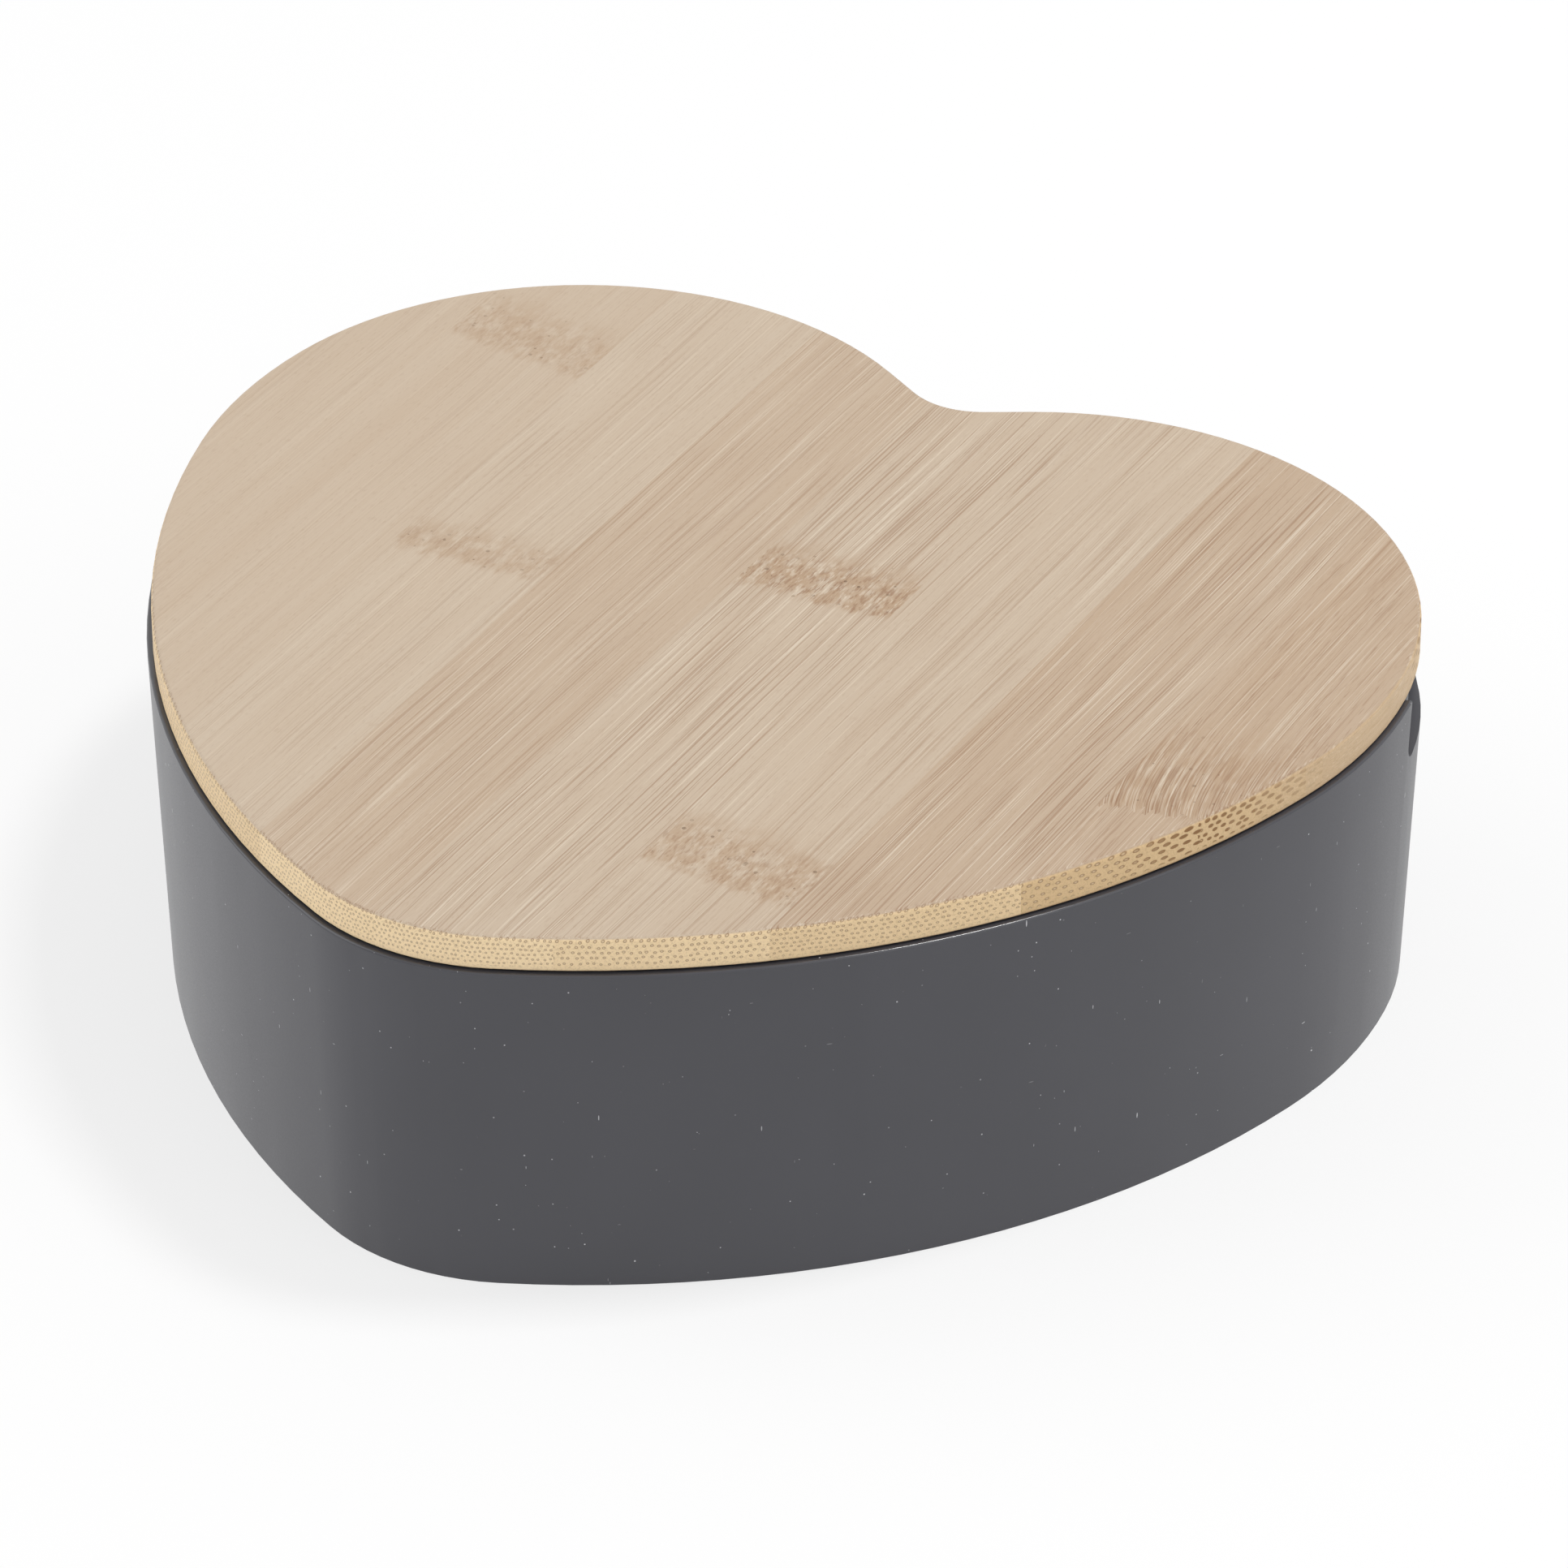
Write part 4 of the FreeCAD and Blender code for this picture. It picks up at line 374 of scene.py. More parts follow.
def bundle_rings(tree, bent, spread, height, low, high, opened):
    """Rings and light pith of the fibre bundles, as a cut across them shows; the dark ring is partly painted
    pit shade.
    """
    scaled = add(tree, "VectorMath", {"operation": "DIVIDE"}, {0: bent, 1: spread}).outputs[0]
    section = add(tree, "SeparateXYZ", inputs={0: scaled}).outputs
    # Each second row is moved by half a step. The pattern sets its points in the first part of a cell, so
    # the bound between two rows lies half way between their points
    row = add(tree, "Math", {"operation": "ADD"}, {0: section[2], 1: 0.5 - 0.5 * BUNDLE_STRAY}).outputs[0]
    row = add(tree, "Math", {"operation": "FLOOR"}, {0: row}).outputs[0]
    row = add(tree, "Math", {"operation": "PINGPONG"}, {0: row, 1: 1.0}).outputs[0]
    moved = add(tree, "Math", {"operation": "MULTIPLY_ADD"}, {0: row, 1: 0.5, 2: section[0]}).outputs[0]
    cut = add(tree, "CombineXYZ", inputs={0: moved, 1: section[2]}).outputs[0]
    bundle = add(tree, "TexVoronoi", {"voronoi_dimensions": "2D"}, {
        "Vector": cut, "Scale": 1.0, "Randomness": BUNDLE_STRAY}).outputs["Distance"]
    # Bundles are thicker toward the cane's skin, which is on top
    radius = add(tree, "MapRange", inputs={
        "Value": height, "From Min": low, "From Max": high,
        "To Min": BUNDLE_RADIUS[0], "To Max": BUNDLE_RADIUS[1]}).outputs[0]
    wider = add(tree, "Math", {"operation": "MULTIPLY_ADD"}, {0: opened, 1: OPEN_WIDER, 2: 1.0}).outputs[0]
    radius = add(tree, "Math", {"operation": "MULTIPLY"}, {0: radius, 1: wider}).outputs[0]
    inside = add(tree, "Math", {"operation": "DIVIDE"}, {0: bundle, 1: radius}).outputs[0]
    ring = add(tree, "ValToRGB", inputs={0: inside})
    shades = ring.color_ramp.elements
    for position, _ in BUNDLE_TONE_AND_SHADE[1:-1]:
        shades.new(position)
    for step, (_, shade) in zip(shades, BUNDLE_TONE_AND_SHADE):
        step.color = (shade, shade, shade, 1)
    pith = add(tree, "MapRange", {"interpolation_type": "SMOOTHSTEP"}, {
        "Value": inside, "From Min": PITH[0], "From Max": PITH[1]}).outputs[0]
    return ring.outputs[0], pith


def bamboo_material(colours, sizes):
    """Bamboo strips, glued, sanded and oiled: pale matt strips of differing tone with long thin fibres.

    The fibre bundles run along the strips, so the cut edge shows them as dots and the top as lines.
    """
    material, tree, shader, place = new_material("Bamboo board, sanded and oiled")
    pitch = sizes.strip_width / MM
    count = len(STRIP_TOAST)
    left = sizes.first_joint / MM - STRIPS_BEFORE * pitch
    low, high = (corner.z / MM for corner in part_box("lid_board"))
    xyz = add(tree, "SeparateXYZ", inputs={0: place}).outputs
    across = add(tree, "MapRange", inputs={
        "Value": xyz[0], "From Min": left, "From Max": left + count * pitch}).outputs[0]
    toast, strength, end_toast, spread = strip_values(tree, across)

    # Each strip is cut from another cane, so its pattern starts somewhere else
    number = add(tree, "Math", {"operation": "MULTIPLY"}, {0: across, 1: count}).outputs[0]
    number = add(tree, "Math", {"operation": "FLOOR"}, {0: number}).outputs[0]
    cane = add(tree, "TexWhiteNoise", {"noise_dimensions": "1D"}, {"W": number}).outputs["Color"]
    own = add(tree, "VectorMath", {"operation": "MULTIPLY_ADD"}, {
        0: cane, 1: CANE_SHIFT, 2: place}).outputs[0]
    bent, flare, last = leaning_fibres(tree, own, xyz, pitch)
    fields, masks = fibre_masks(tree, bent, last)

    # Top and underside: strip tone, slow bands, streaks, then light and dark fibres
    tone = toast
    for name, share in (("band", BAND_TONE), ("streak", STREAK_TONE)):
        tone = add(tree, "Math", {"operation": "MULTIPLY_ADD"}, {
            0: fields[name], 1: share, 2: tone}).outputs[0]
    tone = add(tree, "Math", {"operation": "SUBTRACT", "use_clamp": True}, {
        0: tone, 1: 0.5 * (BAND_TONE + STREAK_TONE)}).outputs[0]
    face = add(tree, "Mix", {"data_type": "RGBA"}, {
        0: tone, 6: rgba(colours.bamboo_pale), 7: rgba(colours.bamboo_toasted)}).outputs[2]
    line = add(tree, "Math", {"operation": "MULTIPLY"}, {0: masks["line"], 1: masks["gap"]}).outputs[0]
    lines = add(tree, "Math", {"operation": "MAXIMUM"}, {0: line, 1: masks["hair"]}).outputs[0]
    strength = add(tree, "Math", {"operation": "ADD"}, {0: strength, 1: flare}).outputs[0]
    lines = add(tree, "Math", {"operation": "MULTIPLY"}, {0: lines, 1: strength}).outputs[0]
    pale = add(tree, "Math", {"operation": "MULTIPLY"}, {0: masks["pale"], 1: strength}).outputs[0]
    face = tinted(tree, face, (
        (pale, PALE_SHARE, colours.bamboo_fleck), (flare, FLARE_SHARE, colours.bamboo_mark),
        (lines, LINE_SHARE, colours.bamboo_line), (masks["pore"], PORE_SHARE, colours.bamboo_line)))

    # Cane joints: a brown blot with dark and light strokes and small pits, drawn dark as painted shade
    marks = joint_marks(tree, xyz, fields["fray"], pitch)
    blotted = add(tree, "Math", {"operation": "MULTIPLY"}, {0: marks, 1: masks["blot"]}).outputs[0]
    inner = add(tree, "Math", {"operation": "MULTIPLY"}, {0: marks, 1: marks}).outputs[0]
    layers = []
    relief = None
    for mask, area, share, colour in (
            (masks["blot"], marks, BLOT_SHARE, colours.bamboo_mark),
            (masks["dark_stroke"], inner, DARK_STROKE_SHARE, colours.bamboo_line),
            (masks["light_stroke"], inner, LIGHT_STROKE_SHARE, colours.bamboo_fleck),
            (joint_pits(tree, place), blotted, PIT_SHADE_SHARE, colours.bamboo_pit_shade)):
        mask = add(tree, "Math", {"operation": "MULTIPLY"}, {0: mask, 1: area}).outputs[0]
        layers.append((mask, share, colour))
        if relief:
            mask = add(tree, "Math", {"operation": "MAXIMUM"}, {0: relief, 1: mask}).outputs[0]
        relief = mask
    face = tinted(tree, face, layers)

    # Cut edge: honey tone with a ring for each bundle, plain where the edge runs along the fibres; painted
    # shade in rings and open holes
    edge = add(tree, "Mix", {"data_type": "RGBA"}, {
        0: end_toast, 6: rgba(colours.bamboo_end), 7: rgba(colours.bamboo_end_toasted)}).outputs[2]
    facing = add(tree, "NewGeometry").outputs["True Normal"]
    facing = add(tree, "SeparateXYZ", inputs={0: facing}).outputs
    along, upward = (add(tree, "Math", {"operation": "ABSOLUTE"}, {0: facing[i]}).outputs[0] for i in (1, 2))
    opened, above, crossing, is_edge = (
        add(tree, "MapRange", {"interpolation_type": "SMOOTHSTEP"}, {
            "Value": value, "From Min": none, "From Max": full}).outputs[0]
        for value, (none, full) in ((xyz[0], OPEN_BUNDLES), (xyz[2], [low + step for step in PLAIN_CANE]),
                                    (along, CROSS_CUT), (upward, EDGE_TURN)))
    rings_and_pit_shade, pith = bundle_rings(tree, bent, spread, xyz[2], low, high, opened)
    # The inside of an open hole is drawn dark: painted shade
    hole_shade = add(tree, "Math", {"operation": "MULTIPLY"}, {0: pith, 1: opened}).outputs[0]
    dots = add(tree, "Math", {"operation": "MAXIMUM"}, {0: rings_and_pit_shade, 1: hole_shade}).outputs[0]
    for mask in (above, crossing):
        dots = add(tree, "Math", {"operation": "MULTIPLY"}, {0: dots, 1: mask}).outputs[0]
        pith = add(tree, "Math", {"operation": "MULTIPLY"}, {0: pith, 1: mask}).outputs[0]
    bright = add(tree, "Math", {"operation": "MULTIPLY_ADD"}, {
        0: opened, 1: -PITH_SHARE, 2: PITH_SHARE}).outputs[0]
    bundle_and_shade_share = add(tree, "Math", {"operation": "MULTIPLY_ADD"}, {
        0: opened, 1: OPEN_HOLE_SHADE - CLOSED_SHARE, 2: CLOSED_SHARE}).outputs[0]
    edge = tinted(tree, edge, ((masks["mottle"], MOTTLE_SHARE, colours.bamboo_bundle_and_shade),))
    kept = add(tree, "Math", {"operation": "MULTIPLY_ADD"}, {
        0: crossing, 1: 1 - LONG_CUT_TONE, 2: LONG_CUT_TONE}).outputs[0]
    is_edge = add(tree, "Math", {"operation": "MULTIPLY"}, {0: is_edge, 1: kept}).outputs[0]
    skin = add(tree, "Mix", {"data_type": "RGBA"}, {0: is_edge, 6: face, 7: edge}).outputs[2]
    # The bundles lie over both, so that they run up the rounded rim as short strokes
    skin = tinted(tree, skin, ((pith, bright, colours.bamboo_fleck), (dots, bundle_and_shade_share, colours.bamboo_bundle_and_shade)))
    tree.links.new(skin, shader.inputs["Base Color"])

    # Relief: fibre lines, strokes and pits on the face, bundles on the cut edge
    relief = add(tree, "Math", {"operation": "MULTIPLY_ADD"}, {
        0: lines, 1: LINE_RELIEF, 2: relief}).outputs[0]
    relief = add(tree, "Mix", {"data_type": "FLOAT"}, {0: is_edge, 2: relief, 3: dots}).outputs[0]
    bump = add(tree, "Bump", {"invert": True}, {
        "Strength": BOARD_RELIEF_STRENGTH, "Distance": BOARD_RELIEF * MM, "Height": relief}).outputs[0]
    tree.links.new(bump, shader.inputs["Normal"])
    rough = add(tree, "MapRange", inputs={
        "Value": fields["streak"], "From Min": NOISE_RANGE[0], "From Max": NOISE_RANGE[1],
        "To Min": BOARD_ROUGHNESS[0], "To Max": BOARD_ROUGHNESS[1]}).outputs[0]
    tree.links.new(rough, shader.inputs["Roughness"])
    shader.inputs["IOR"].default_value = 1.5
    shader.inputs["Specular IOR Level"].default_value = 0.35
    return material


# Dust on the wall: cell of a loose scatter in millimetres, its stretch, turn, size in cells and share
DUST = (
    (1.8, (1, 1, 1), (0, 0, 0), 0.072, 0.6), (2.4, (1, 1, 1), (0.3, 0.2, 0.4), 0.06, 0.6),
    (1.5, (1, 1, 0.16), (0.5, 0.35, 0.2), 0.06, 0.5), (1.5, (1, 1, 0.14), (-0.6, 0.5, 0.7), 0.055, 0.5),
    (1.5, (0.16, 0.16, 1), (0.3, -0.2, 0.3), 0.055, 0.3))
# Clouds in the colour of a moulding: their size in millimetres, and their darkest and lightest shade
CLOUD_SIZE = 40
CLOUD_SHADE = (0.94, 1.06)
# Relief of the mould's grit in millimetres, its strength, and how far it changes the roughness
GRIT_RELIEF = 0.02
GRIT_RELIEF_STRENGTH = 0.12
GRIT_ROUGHNESS = 0.03
# Depth of a rubbed edge in millimetres, and its share of the roughness
RUBBED_DEPTH = 0.4
RUBBED_ROUGHNESS = 0.4


def plastic_material(name, colour, roughness, grit, dust=(), lint=None, polish=None):
    """Moulded ABS or nylon: even colour, spark eroded grit from the tool, and on the wall a little dust.

    The real grit is near 0.05 mm, too fine to show, so it is drawn as coarse as grit says, in millimetres.
    Above the height polish, in millimetres, fingers and the lid have rubbed the edge shiny.
    """
    material, tree, shader, place = new_material(name)
    cloud = add(tree, "TexNoise", inputs={
        "Vector": place, "Scale": 1 / CLOUD_SIZE, "Detail": 2.0}).outputs[0]
    shade = add(tree, "MapRange", inputs={
        "Value": cloud, "From Min": NOISE_RANGE[0], "From Max": NOISE_RANGE[1],
        "To Min": CLOUD_SHADE[0], "To Max": CLOUD_SHADE[1]}).outputs[0]
    skin = add(tree, "VectorMath", {"operation": "SCALE"}, {0: tuple(colour), "Scale": shade}).outputs[0]
    grain = add(tree, "TexNoise", inputs={"Vector": place, "Scale": 1 / grit, "Detail": 2.0}).outputs[0]
    for cell, stretch, turn, reach, share in dust:
        turned = add(tree, "Mapping", inputs={
            "Vector": place, "Rotation": turn, "Scale": [v / cell for v in stretch]}).outputs[0]
        scatter = add(tree, "TexVoronoi", inputs={"Vector": turned, "Scale": 1.0, "Randomness": 1.0}).outputs
        pick, other = add(tree, "SeparateColor", inputs={0: scatter["Color"]}).outputs[:2]
        size = add(tree, "MapRange", inputs={
            "Value": pick, "From Min": 1 - share, "From Max": 1.0,
            "To Min": 0.0, "To Max": reach}).outputs[0]
        fleck = add(tree, "Math", {"operation": "LESS_THAN"}, {0: scatter["Distance"], 1: size}).outputs[0]
        skin = tinted(tree, skin, ((fleck, other, lint),))
    tree.links.new(skin, shader.inputs["Base Color"])
    bump = add(tree, "Bump", inputs={
        "Strength": GRIT_RELIEF_STRENGTH, "Distance": GRIT_RELIEF * MM, "Height": grain}).outputs[0]
    tree.links.new(bump, shader.inputs["Normal"])
    rough = add(tree, "MapRange", inputs={
        "Value": grain, "From Min": NOISE_RANGE[0], "From Max": NOISE_RANGE[1],
        "To Min": roughness - GRIT_ROUGHNESS, "To Max": roughness + GRIT_ROUGHNESS}).outputs[0]
    if polish:
        height = add(tree, "SeparateXYZ", inputs={0: place}).outputs[2]
        rubbed = add(tree, "MapRange", {"interpolation_type": "SMOOTHSTEP"}, {
            "Value": height, "From Min": polish, "From Max": polish + RUBBED_DEPTH}).outputs[0]
        rough = add(tree, "Mix", {"data_type": "FLOAT"}, {
            0: rubbed, 2: rough, 3: RUBBED_ROUGHNESS * roughness}).outputs[0]
    tree.links.new(rough, shader.inputs["Roughness"])
    shader.inputs["IOR"].default_value = 1.53
    return material


# Flock: size of a tuft and of the larger nap in millimetres, how much the nap counts, and the shades
TUFT_SIZE = 0.5
NAP_SIZE = 14
NAP_SHARE = 0.6
FLOCK_RANGE = (0.5, 1.1)
FLOCK_SHADE = (0.6, 1.6)
# Relief of the tufts in millimetres and its strength
TUFT_RELIEF = 0.15
TUFT_RELIEF_STRENGTH = 0.6


def flock_material(colours):
    """Nylon flock on moulded plastic: near black, with short standing fibres that catch light at a slant.

    Single fibres, some 0.03 mm thick, are too fine to show, so they are drawn as tufts.
    """
    material, tree, shader, place = new_material("Nylon flock on the tray")
    tuft = add(tree, "TexNoise", inputs={
        "Vector": place, "Scale": 1 / TUFT_SIZE, "Detail": 4.0, "Roughness": 0.75}).outputs[0]
    nap = add(tree, "TexNoise", inputs={"Vector": place, "Scale": 1 / NAP_SIZE, "Detail": 3.0}).outputs[0]
    mixed = add(tree, "Math", {"operation": "MULTIPLY_ADD"}, {0: nap, 1: NAP_SHARE, 2: tuft}).outputs[0]
    shade = add(tree, "MapRange", inputs={
        "Value": mixed, "From Min": FLOCK_RANGE[0], "From Max": FLOCK_RANGE[1],
        "To Min": FLOCK_SHADE[0], "To Max": FLOCK_SHADE[1]}).outputs[0]
    tint = add(tree, "VectorMath", {"operation": "SCALE"}, {
        0: tuple(colours.tray_black), "Scale": shade}).outputs[0]
    tree.links.new(tint, shader.inputs["Base Color"])
    bump = add(tree, "Bump", inputs={
        "Strength": TUFT_RELIEF_STRENGTH, "Distance": TUFT_RELIEF * MM, "Height": tuft}).outputs[0]
    tree.links.new(bump, shader.inputs["Normal"])
    shader.inputs["Roughness"].default_value = 0.9
    shader.inputs["Sheen Weight"].default_value = 0.35
    shader.inputs["Sheen Roughness"].default_value = 0.4
    return material


# Tarnish: size of a stain in millimetres, range of its noise, and how dark it is
STAIN_SIZE = 5
STAIN_RANGE = (0.4, 0.75)
STAIN_SHADE = 0.35
# Relief of tool lines in millimetres, its strength, and how far they change the roughness
TOOL_RELIEF = 0.01
TOOL_RELIEF_STRENGTH = 0.15
TOOL_ROUGHNESS = (0.75, 1.25)


def metal_material(name, colour, roughness, spacing, run, tarnish=0.15):
    """Bare or plated metal: tool lines of one spacing and run, in millimetres, and a little tarnish.

    Real tool lines are some 0.02 mm apart, too fine to show, so they are drawn as coarse as spacing says.
    """
    material, tree, shader, place = new_material(name)
    sized = add(tree, "VectorMath", {"operation": "DIVIDE"}, {
        0: place, 1: (run, spacing, spacing)}).outputs[0]
    lines = add(tree, "TexNoise", inputs={"Vector": sized, "Scale": 1.0, "Detail": 3.0}).outputs[0]
    stain = add(tree, "TexNoise", inputs={
        "Vector": place, "Scale": 1 / STAIN_SIZE, "Detail": 3.0}).outputs[0]
    dull = add(tree, "MapRange", inputs={
        "Value": stain, "From Min": STAIN_RANGE[0], "From Max": STAIN_RANGE[1],
        "To Min": 0.0, "To Max": tarnish}).outputs[0]
    skin = add(tree, "Mix", {"data_type": "RGBA"}, {
        0: dull, 6: rgba(colour), 7: rgba([STAIN_SHADE * v for v in colour])}).outputs[2]
    tree.links.new(skin, shader.inputs["Base Color"])
    rough = add(tree, "MapRange", inputs={
        "Value": lines, "From Min": NOISE_RANGE[0], "From Max": NOISE_RANGE[1],
        "To Min": TOOL_ROUGHNESS[0] * roughness, "To Max": TOOL_ROUGHNESS[1] * roughness}).outputs[0]
    tree.links.new(rough, shader.inputs["Roughness"])
    bump = add(tree, "Bump", inputs={
        "Strength": TOOL_RELIEF_STRENGTH, "Distance": TOOL_RELIEF * MM, "Height": lines}).outputs[0]
    tree.links.new(bump, shader.inputs["Normal"])
    shader.inputs["Metallic"].default_value = 1.0
    return material


# Meshes

# Corners nearer than this are one, in metres
MERGE = 0.5e-6
# Faces that turn less are flat, edges that turn more are shaded sharp, and harder ones are eased
FLAT_TURN = math.radians(0.3)
SHARP_TURN = math.radians(38)
HARD_TURN = math.radians(40)


def take(node):
    """The mesh of a CAD node, its corners merged and its flat faces made whole."""
    shape = bmesh.new()
    shape.from_mesh(frame["nodes"][node].data)
    bmesh.ops.remove_doubles(shape, verts=shape.verts, dist=MERGE)
    bmesh.ops.dissolve_limit(shape, angle_limit=FLAT_TURN, verts=shape.verts, edges=shape.edges)
    return shape


def show(shape, name, material, body, slot, *nodes):
    """Makes a finished piece of a mesh: it rides on a body, if one is given, and stands for CAD nodes."""
    bmesh.ops.recalc_face_normals(shape, faces=shape.faces)
    mesh = bpy.data.meshes.new(name)
    shape.to_mesh(mesh)
    shape.free()
    mesh.shade_smooth()
    mesh.set_sharp_from_angle(angle=SHARP_TURN)
    mesh.materials.append(material)
    piece = bpy.data.objects.new(name, mesh)
    bpy.context.scene.collection.objects.link(piece)
    even = piece.modifiers.new("even_normals", "WEIGHTED_NORMAL")
    even.keep_sharp = True
    if body:
        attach(piece, body)
    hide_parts(*nodes)
    return piece


def body_of(node):
    return next(body for body, nodes in frame["record"]["behaviour"]["bodies"].items() if node in nodes)


def slot_of(node):
    return next(part["material_slot"] for part in frame["record"]["subparts"] if part["node"] == node)


def eased(node, name, width, material, segments=2):
    """A CAD node with its hard edges rounded."""
    shape = take(node)
    hard = [edge for edge in shape.edges if len(edge.link_faces) == 2 and edge.calc_face_angle() > HARD_TURN]
    bmesh.ops.bevel(shape, geom=hard, offset=width, offset_type="OFFSET", segments=segments, profile=0.5,
                    affect="EDGES", clamp_overlap=True, material=-1)
    return show(shape, name, material, body_of(node), slot_of(node), node)


def screw_places(node):
    """Box and head height of each screw in a CAD node, and whether its head is on top."""
    shape = take(node)
    left = set(shape.verts)
    places = []
    while left:
        one = set()
        front = {left.pop()}
        while front:
            one |= front
            front = {edge.other_vert(vert) for vert in front for edge in vert.link_edges} & left
            left -= front
        low = Vector([min(vert.co[i] for vert in one) for i in range(3)])
        high = Vector([max(vert.co[i] for vert in one) for i in range(3)])
        head = [vert.co.z for vert in one if vert.co.x > high.x - 2 * MERGE]
        places.append((low, high, max(head) - min(head), min(head) > (low.z + high.z) / 2))
    shape.free()
    return places


# Pan head in shares of its radius: flat of the crown, arm and half width of the cross, its depth and taper
HEAD_FLAT = 0.62
CROSS_ARM = 0.48
CROSS_WIDTH = 0.1
CROSS_DEPTH = 0.4
CROSS_TAPER = 0.55
HEAD_SIDES = 24
# Upright part of the head's side, in shares of its height, and the steps of the round above it, in degrees
HEAD_SIDE = 0.35
HEAD_TURNS = (30, 60, 90)
# Shank in shares of the head's radius: core and crest of the thread, its pitch, the plain end, the length of
# the cone and its point
THREAD_CORE = 0.44
THREAD_CREST = 0.53
THREAD_PITCH = 0.36
PLAIN_END = 0.4
CONE = 0.3
POINT = 0.12
# Root and crest of a thread in shares of its pitch
ROOT_STEP = 0.3
CREST_STEP = 0.7


def pan_screw(shape, low, high, rise, head_up):
    """Adds a pan head screw with a cross recess and rolled thread, in the room between two corners."""
    radius = (high.x - low.x) / 2
    length = high.z - low.z - rise
    # Half section from the crown down to the point
    section = [(HEAD_FLAT * radius, rise)]
    for turn in HEAD_TURNS:
        lean = math.radians(turn)
        section.append((radius * (HEAD_FLAT + (1 - HEAD_FLAT) * math.sin(lean)),
                        rise * (HEAD_SIDE + (1 - HEAD_SIDE) * math.cos(lean))))
    section += [(radius, 0), (THREAD_CORE * radius, 0)]
    pitch = THREAD_PITCH * radius
    for i in range(int((length - PLAIN_END * radius) / pitch)):
        section += [(THREAD_CORE * radius, -(i + ROOT_STEP) * pitch),
                    (THREAD_CREST * radius, -(i + CREST_STEP) * pitch)]
    section += [(THREAD_CORE * radius, CONE * radius - length), (POINT * radius, -length)]

    one = bmesh.new()
    verts = [one.verts.new((across, 0, level)) for across, level in section]
    edges = [one.edges.new(pair) for pair in zip(verts, verts[1:])]
    bmesh.ops.spin(one, geom=verts + edges, cent=(0, 0, 0), axis=(0, 0, 1), angle=math.tau, steps=HEAD_SIDES,
                   use_merge=True)
    rim = [edge for edge in one.edges if edge.is_boundary and edge.verts[0].co.z > 0]
    arm = CROSS_ARM * radius
    width = CROSS_WIDTH * radius
    spots = []
    for quarter in range(4):
        turn = Matrix.Rotation(quarter * math.pi / 2, 2)
        spots += [turn @ Vector(spot) for spot in ((arm, -width), (arm, width), (width, width))]
    lip = [one.verts.new((*spot, rise)) for spot in spots]
    floor = [one.verts.new((*(CROSS_TAPER * spot), rise - CROSS_DEPTH * radius)) for spot in spots]
    for i in range(len(spots)):
        one.faces.new((lip[i], lip[i - 1], floor[i - 1], floor[i]))
    one.faces.new(floor)
    rim += [one.edges.get((lip[i], lip[i - 1])) for i in range(len(spots))]
    bmesh.ops.triangle_fill(one, use_beauty=True, edges=rim)
    bmesh.ops.holes_fill(one, edges=[edge for edge in one.edges if edge.is_boundary])

    middle = (low + high) / 2
    place = Matrix.Translation((middle.x, middle.y, high.z - rise if head_up else low.z + rise))
    if not head_up:
        place = place @ Matrix.Rotation(math.pi, 4, "X")
    bmesh.ops.transform(one, matrix=place, verts=one.verts)
    mesh = bpy.data.meshes.new("screw")
    one.to_mesh(mesh)
    one.free()
    shape.from_mesh(mesh)
    bpy.data.meshes.remove(mesh)


def paint(node, material):
    """Gives a CAD node whose shape is right a finished material."""
    frame["nodes"][node].data.materials.clear()
    frame["nodes"][node].data.materials.append(material)


# Stage

# How much of the floor is plain white to the camera, so that the shadow stays faint
FLOOR_WHITE = 0.7
# Light that the white surroundings give
SURROUNDING_LIGHT = 0.55
# Area lamps aimed at the box: name, width in metres, power in watts, place in metres
LAMPS = (("soft_top", 0.3, 12.0, (0.47, 0.36, 1.7)),
         ("soft_left", 1.6, 9.0, (-1.6, -0.6, 1.1)),
         ("soft_right", 1.6, 5.0, (1.7, -0.3, 1.1)))
SENSOR_WIDTH = 36.0


def plain_view(tree, share):
    """How much of a surface is plain white: a share to the camera, all in a reflection or through glass."""
    rays = add(tree, "LightPath").outputs
    seen = add(tree, "Math", {"operation": "MULTIPLY"}, {0: rays["Is Camera Ray"], 1: share}).outputs[0]
    for other in ("Is Glossy Ray", "Is Transmission Ray"):
        seen = add(tree, "Math", {"operation": "MAXIMUM"}, {0: seen, 1: rays[other]}).outputs[0]
    return seen


def floor_material(colours):
    """Matt white studio paper: to the eye mostly plain white, with a faint shadow."""
    material, tree, shader, place = new_material("Studio paper, matt white")
    shader.inputs["Base Color"].default_value = rgba(colours.floor_white)
    shader.inputs["Roughness"].default_value = 0.9
    shader.inputs["Specular IOR Level"].default_value = 0.1
    white = add(tree, "Emission", inputs={"Strength": 1.0}).outputs[0]
    mixed = add(tree, "MixShader", inputs={
        0: plain_view(tree, FLOOR_WHITE), 1: shader.outputs[0], 2: white}).outputs[0]
    output = next(node for node in tree.nodes if node.type == "OUTPUT_MATERIAL")
    tree.links.new(mixed, output.inputs["Surface"])
    return material


# Operators

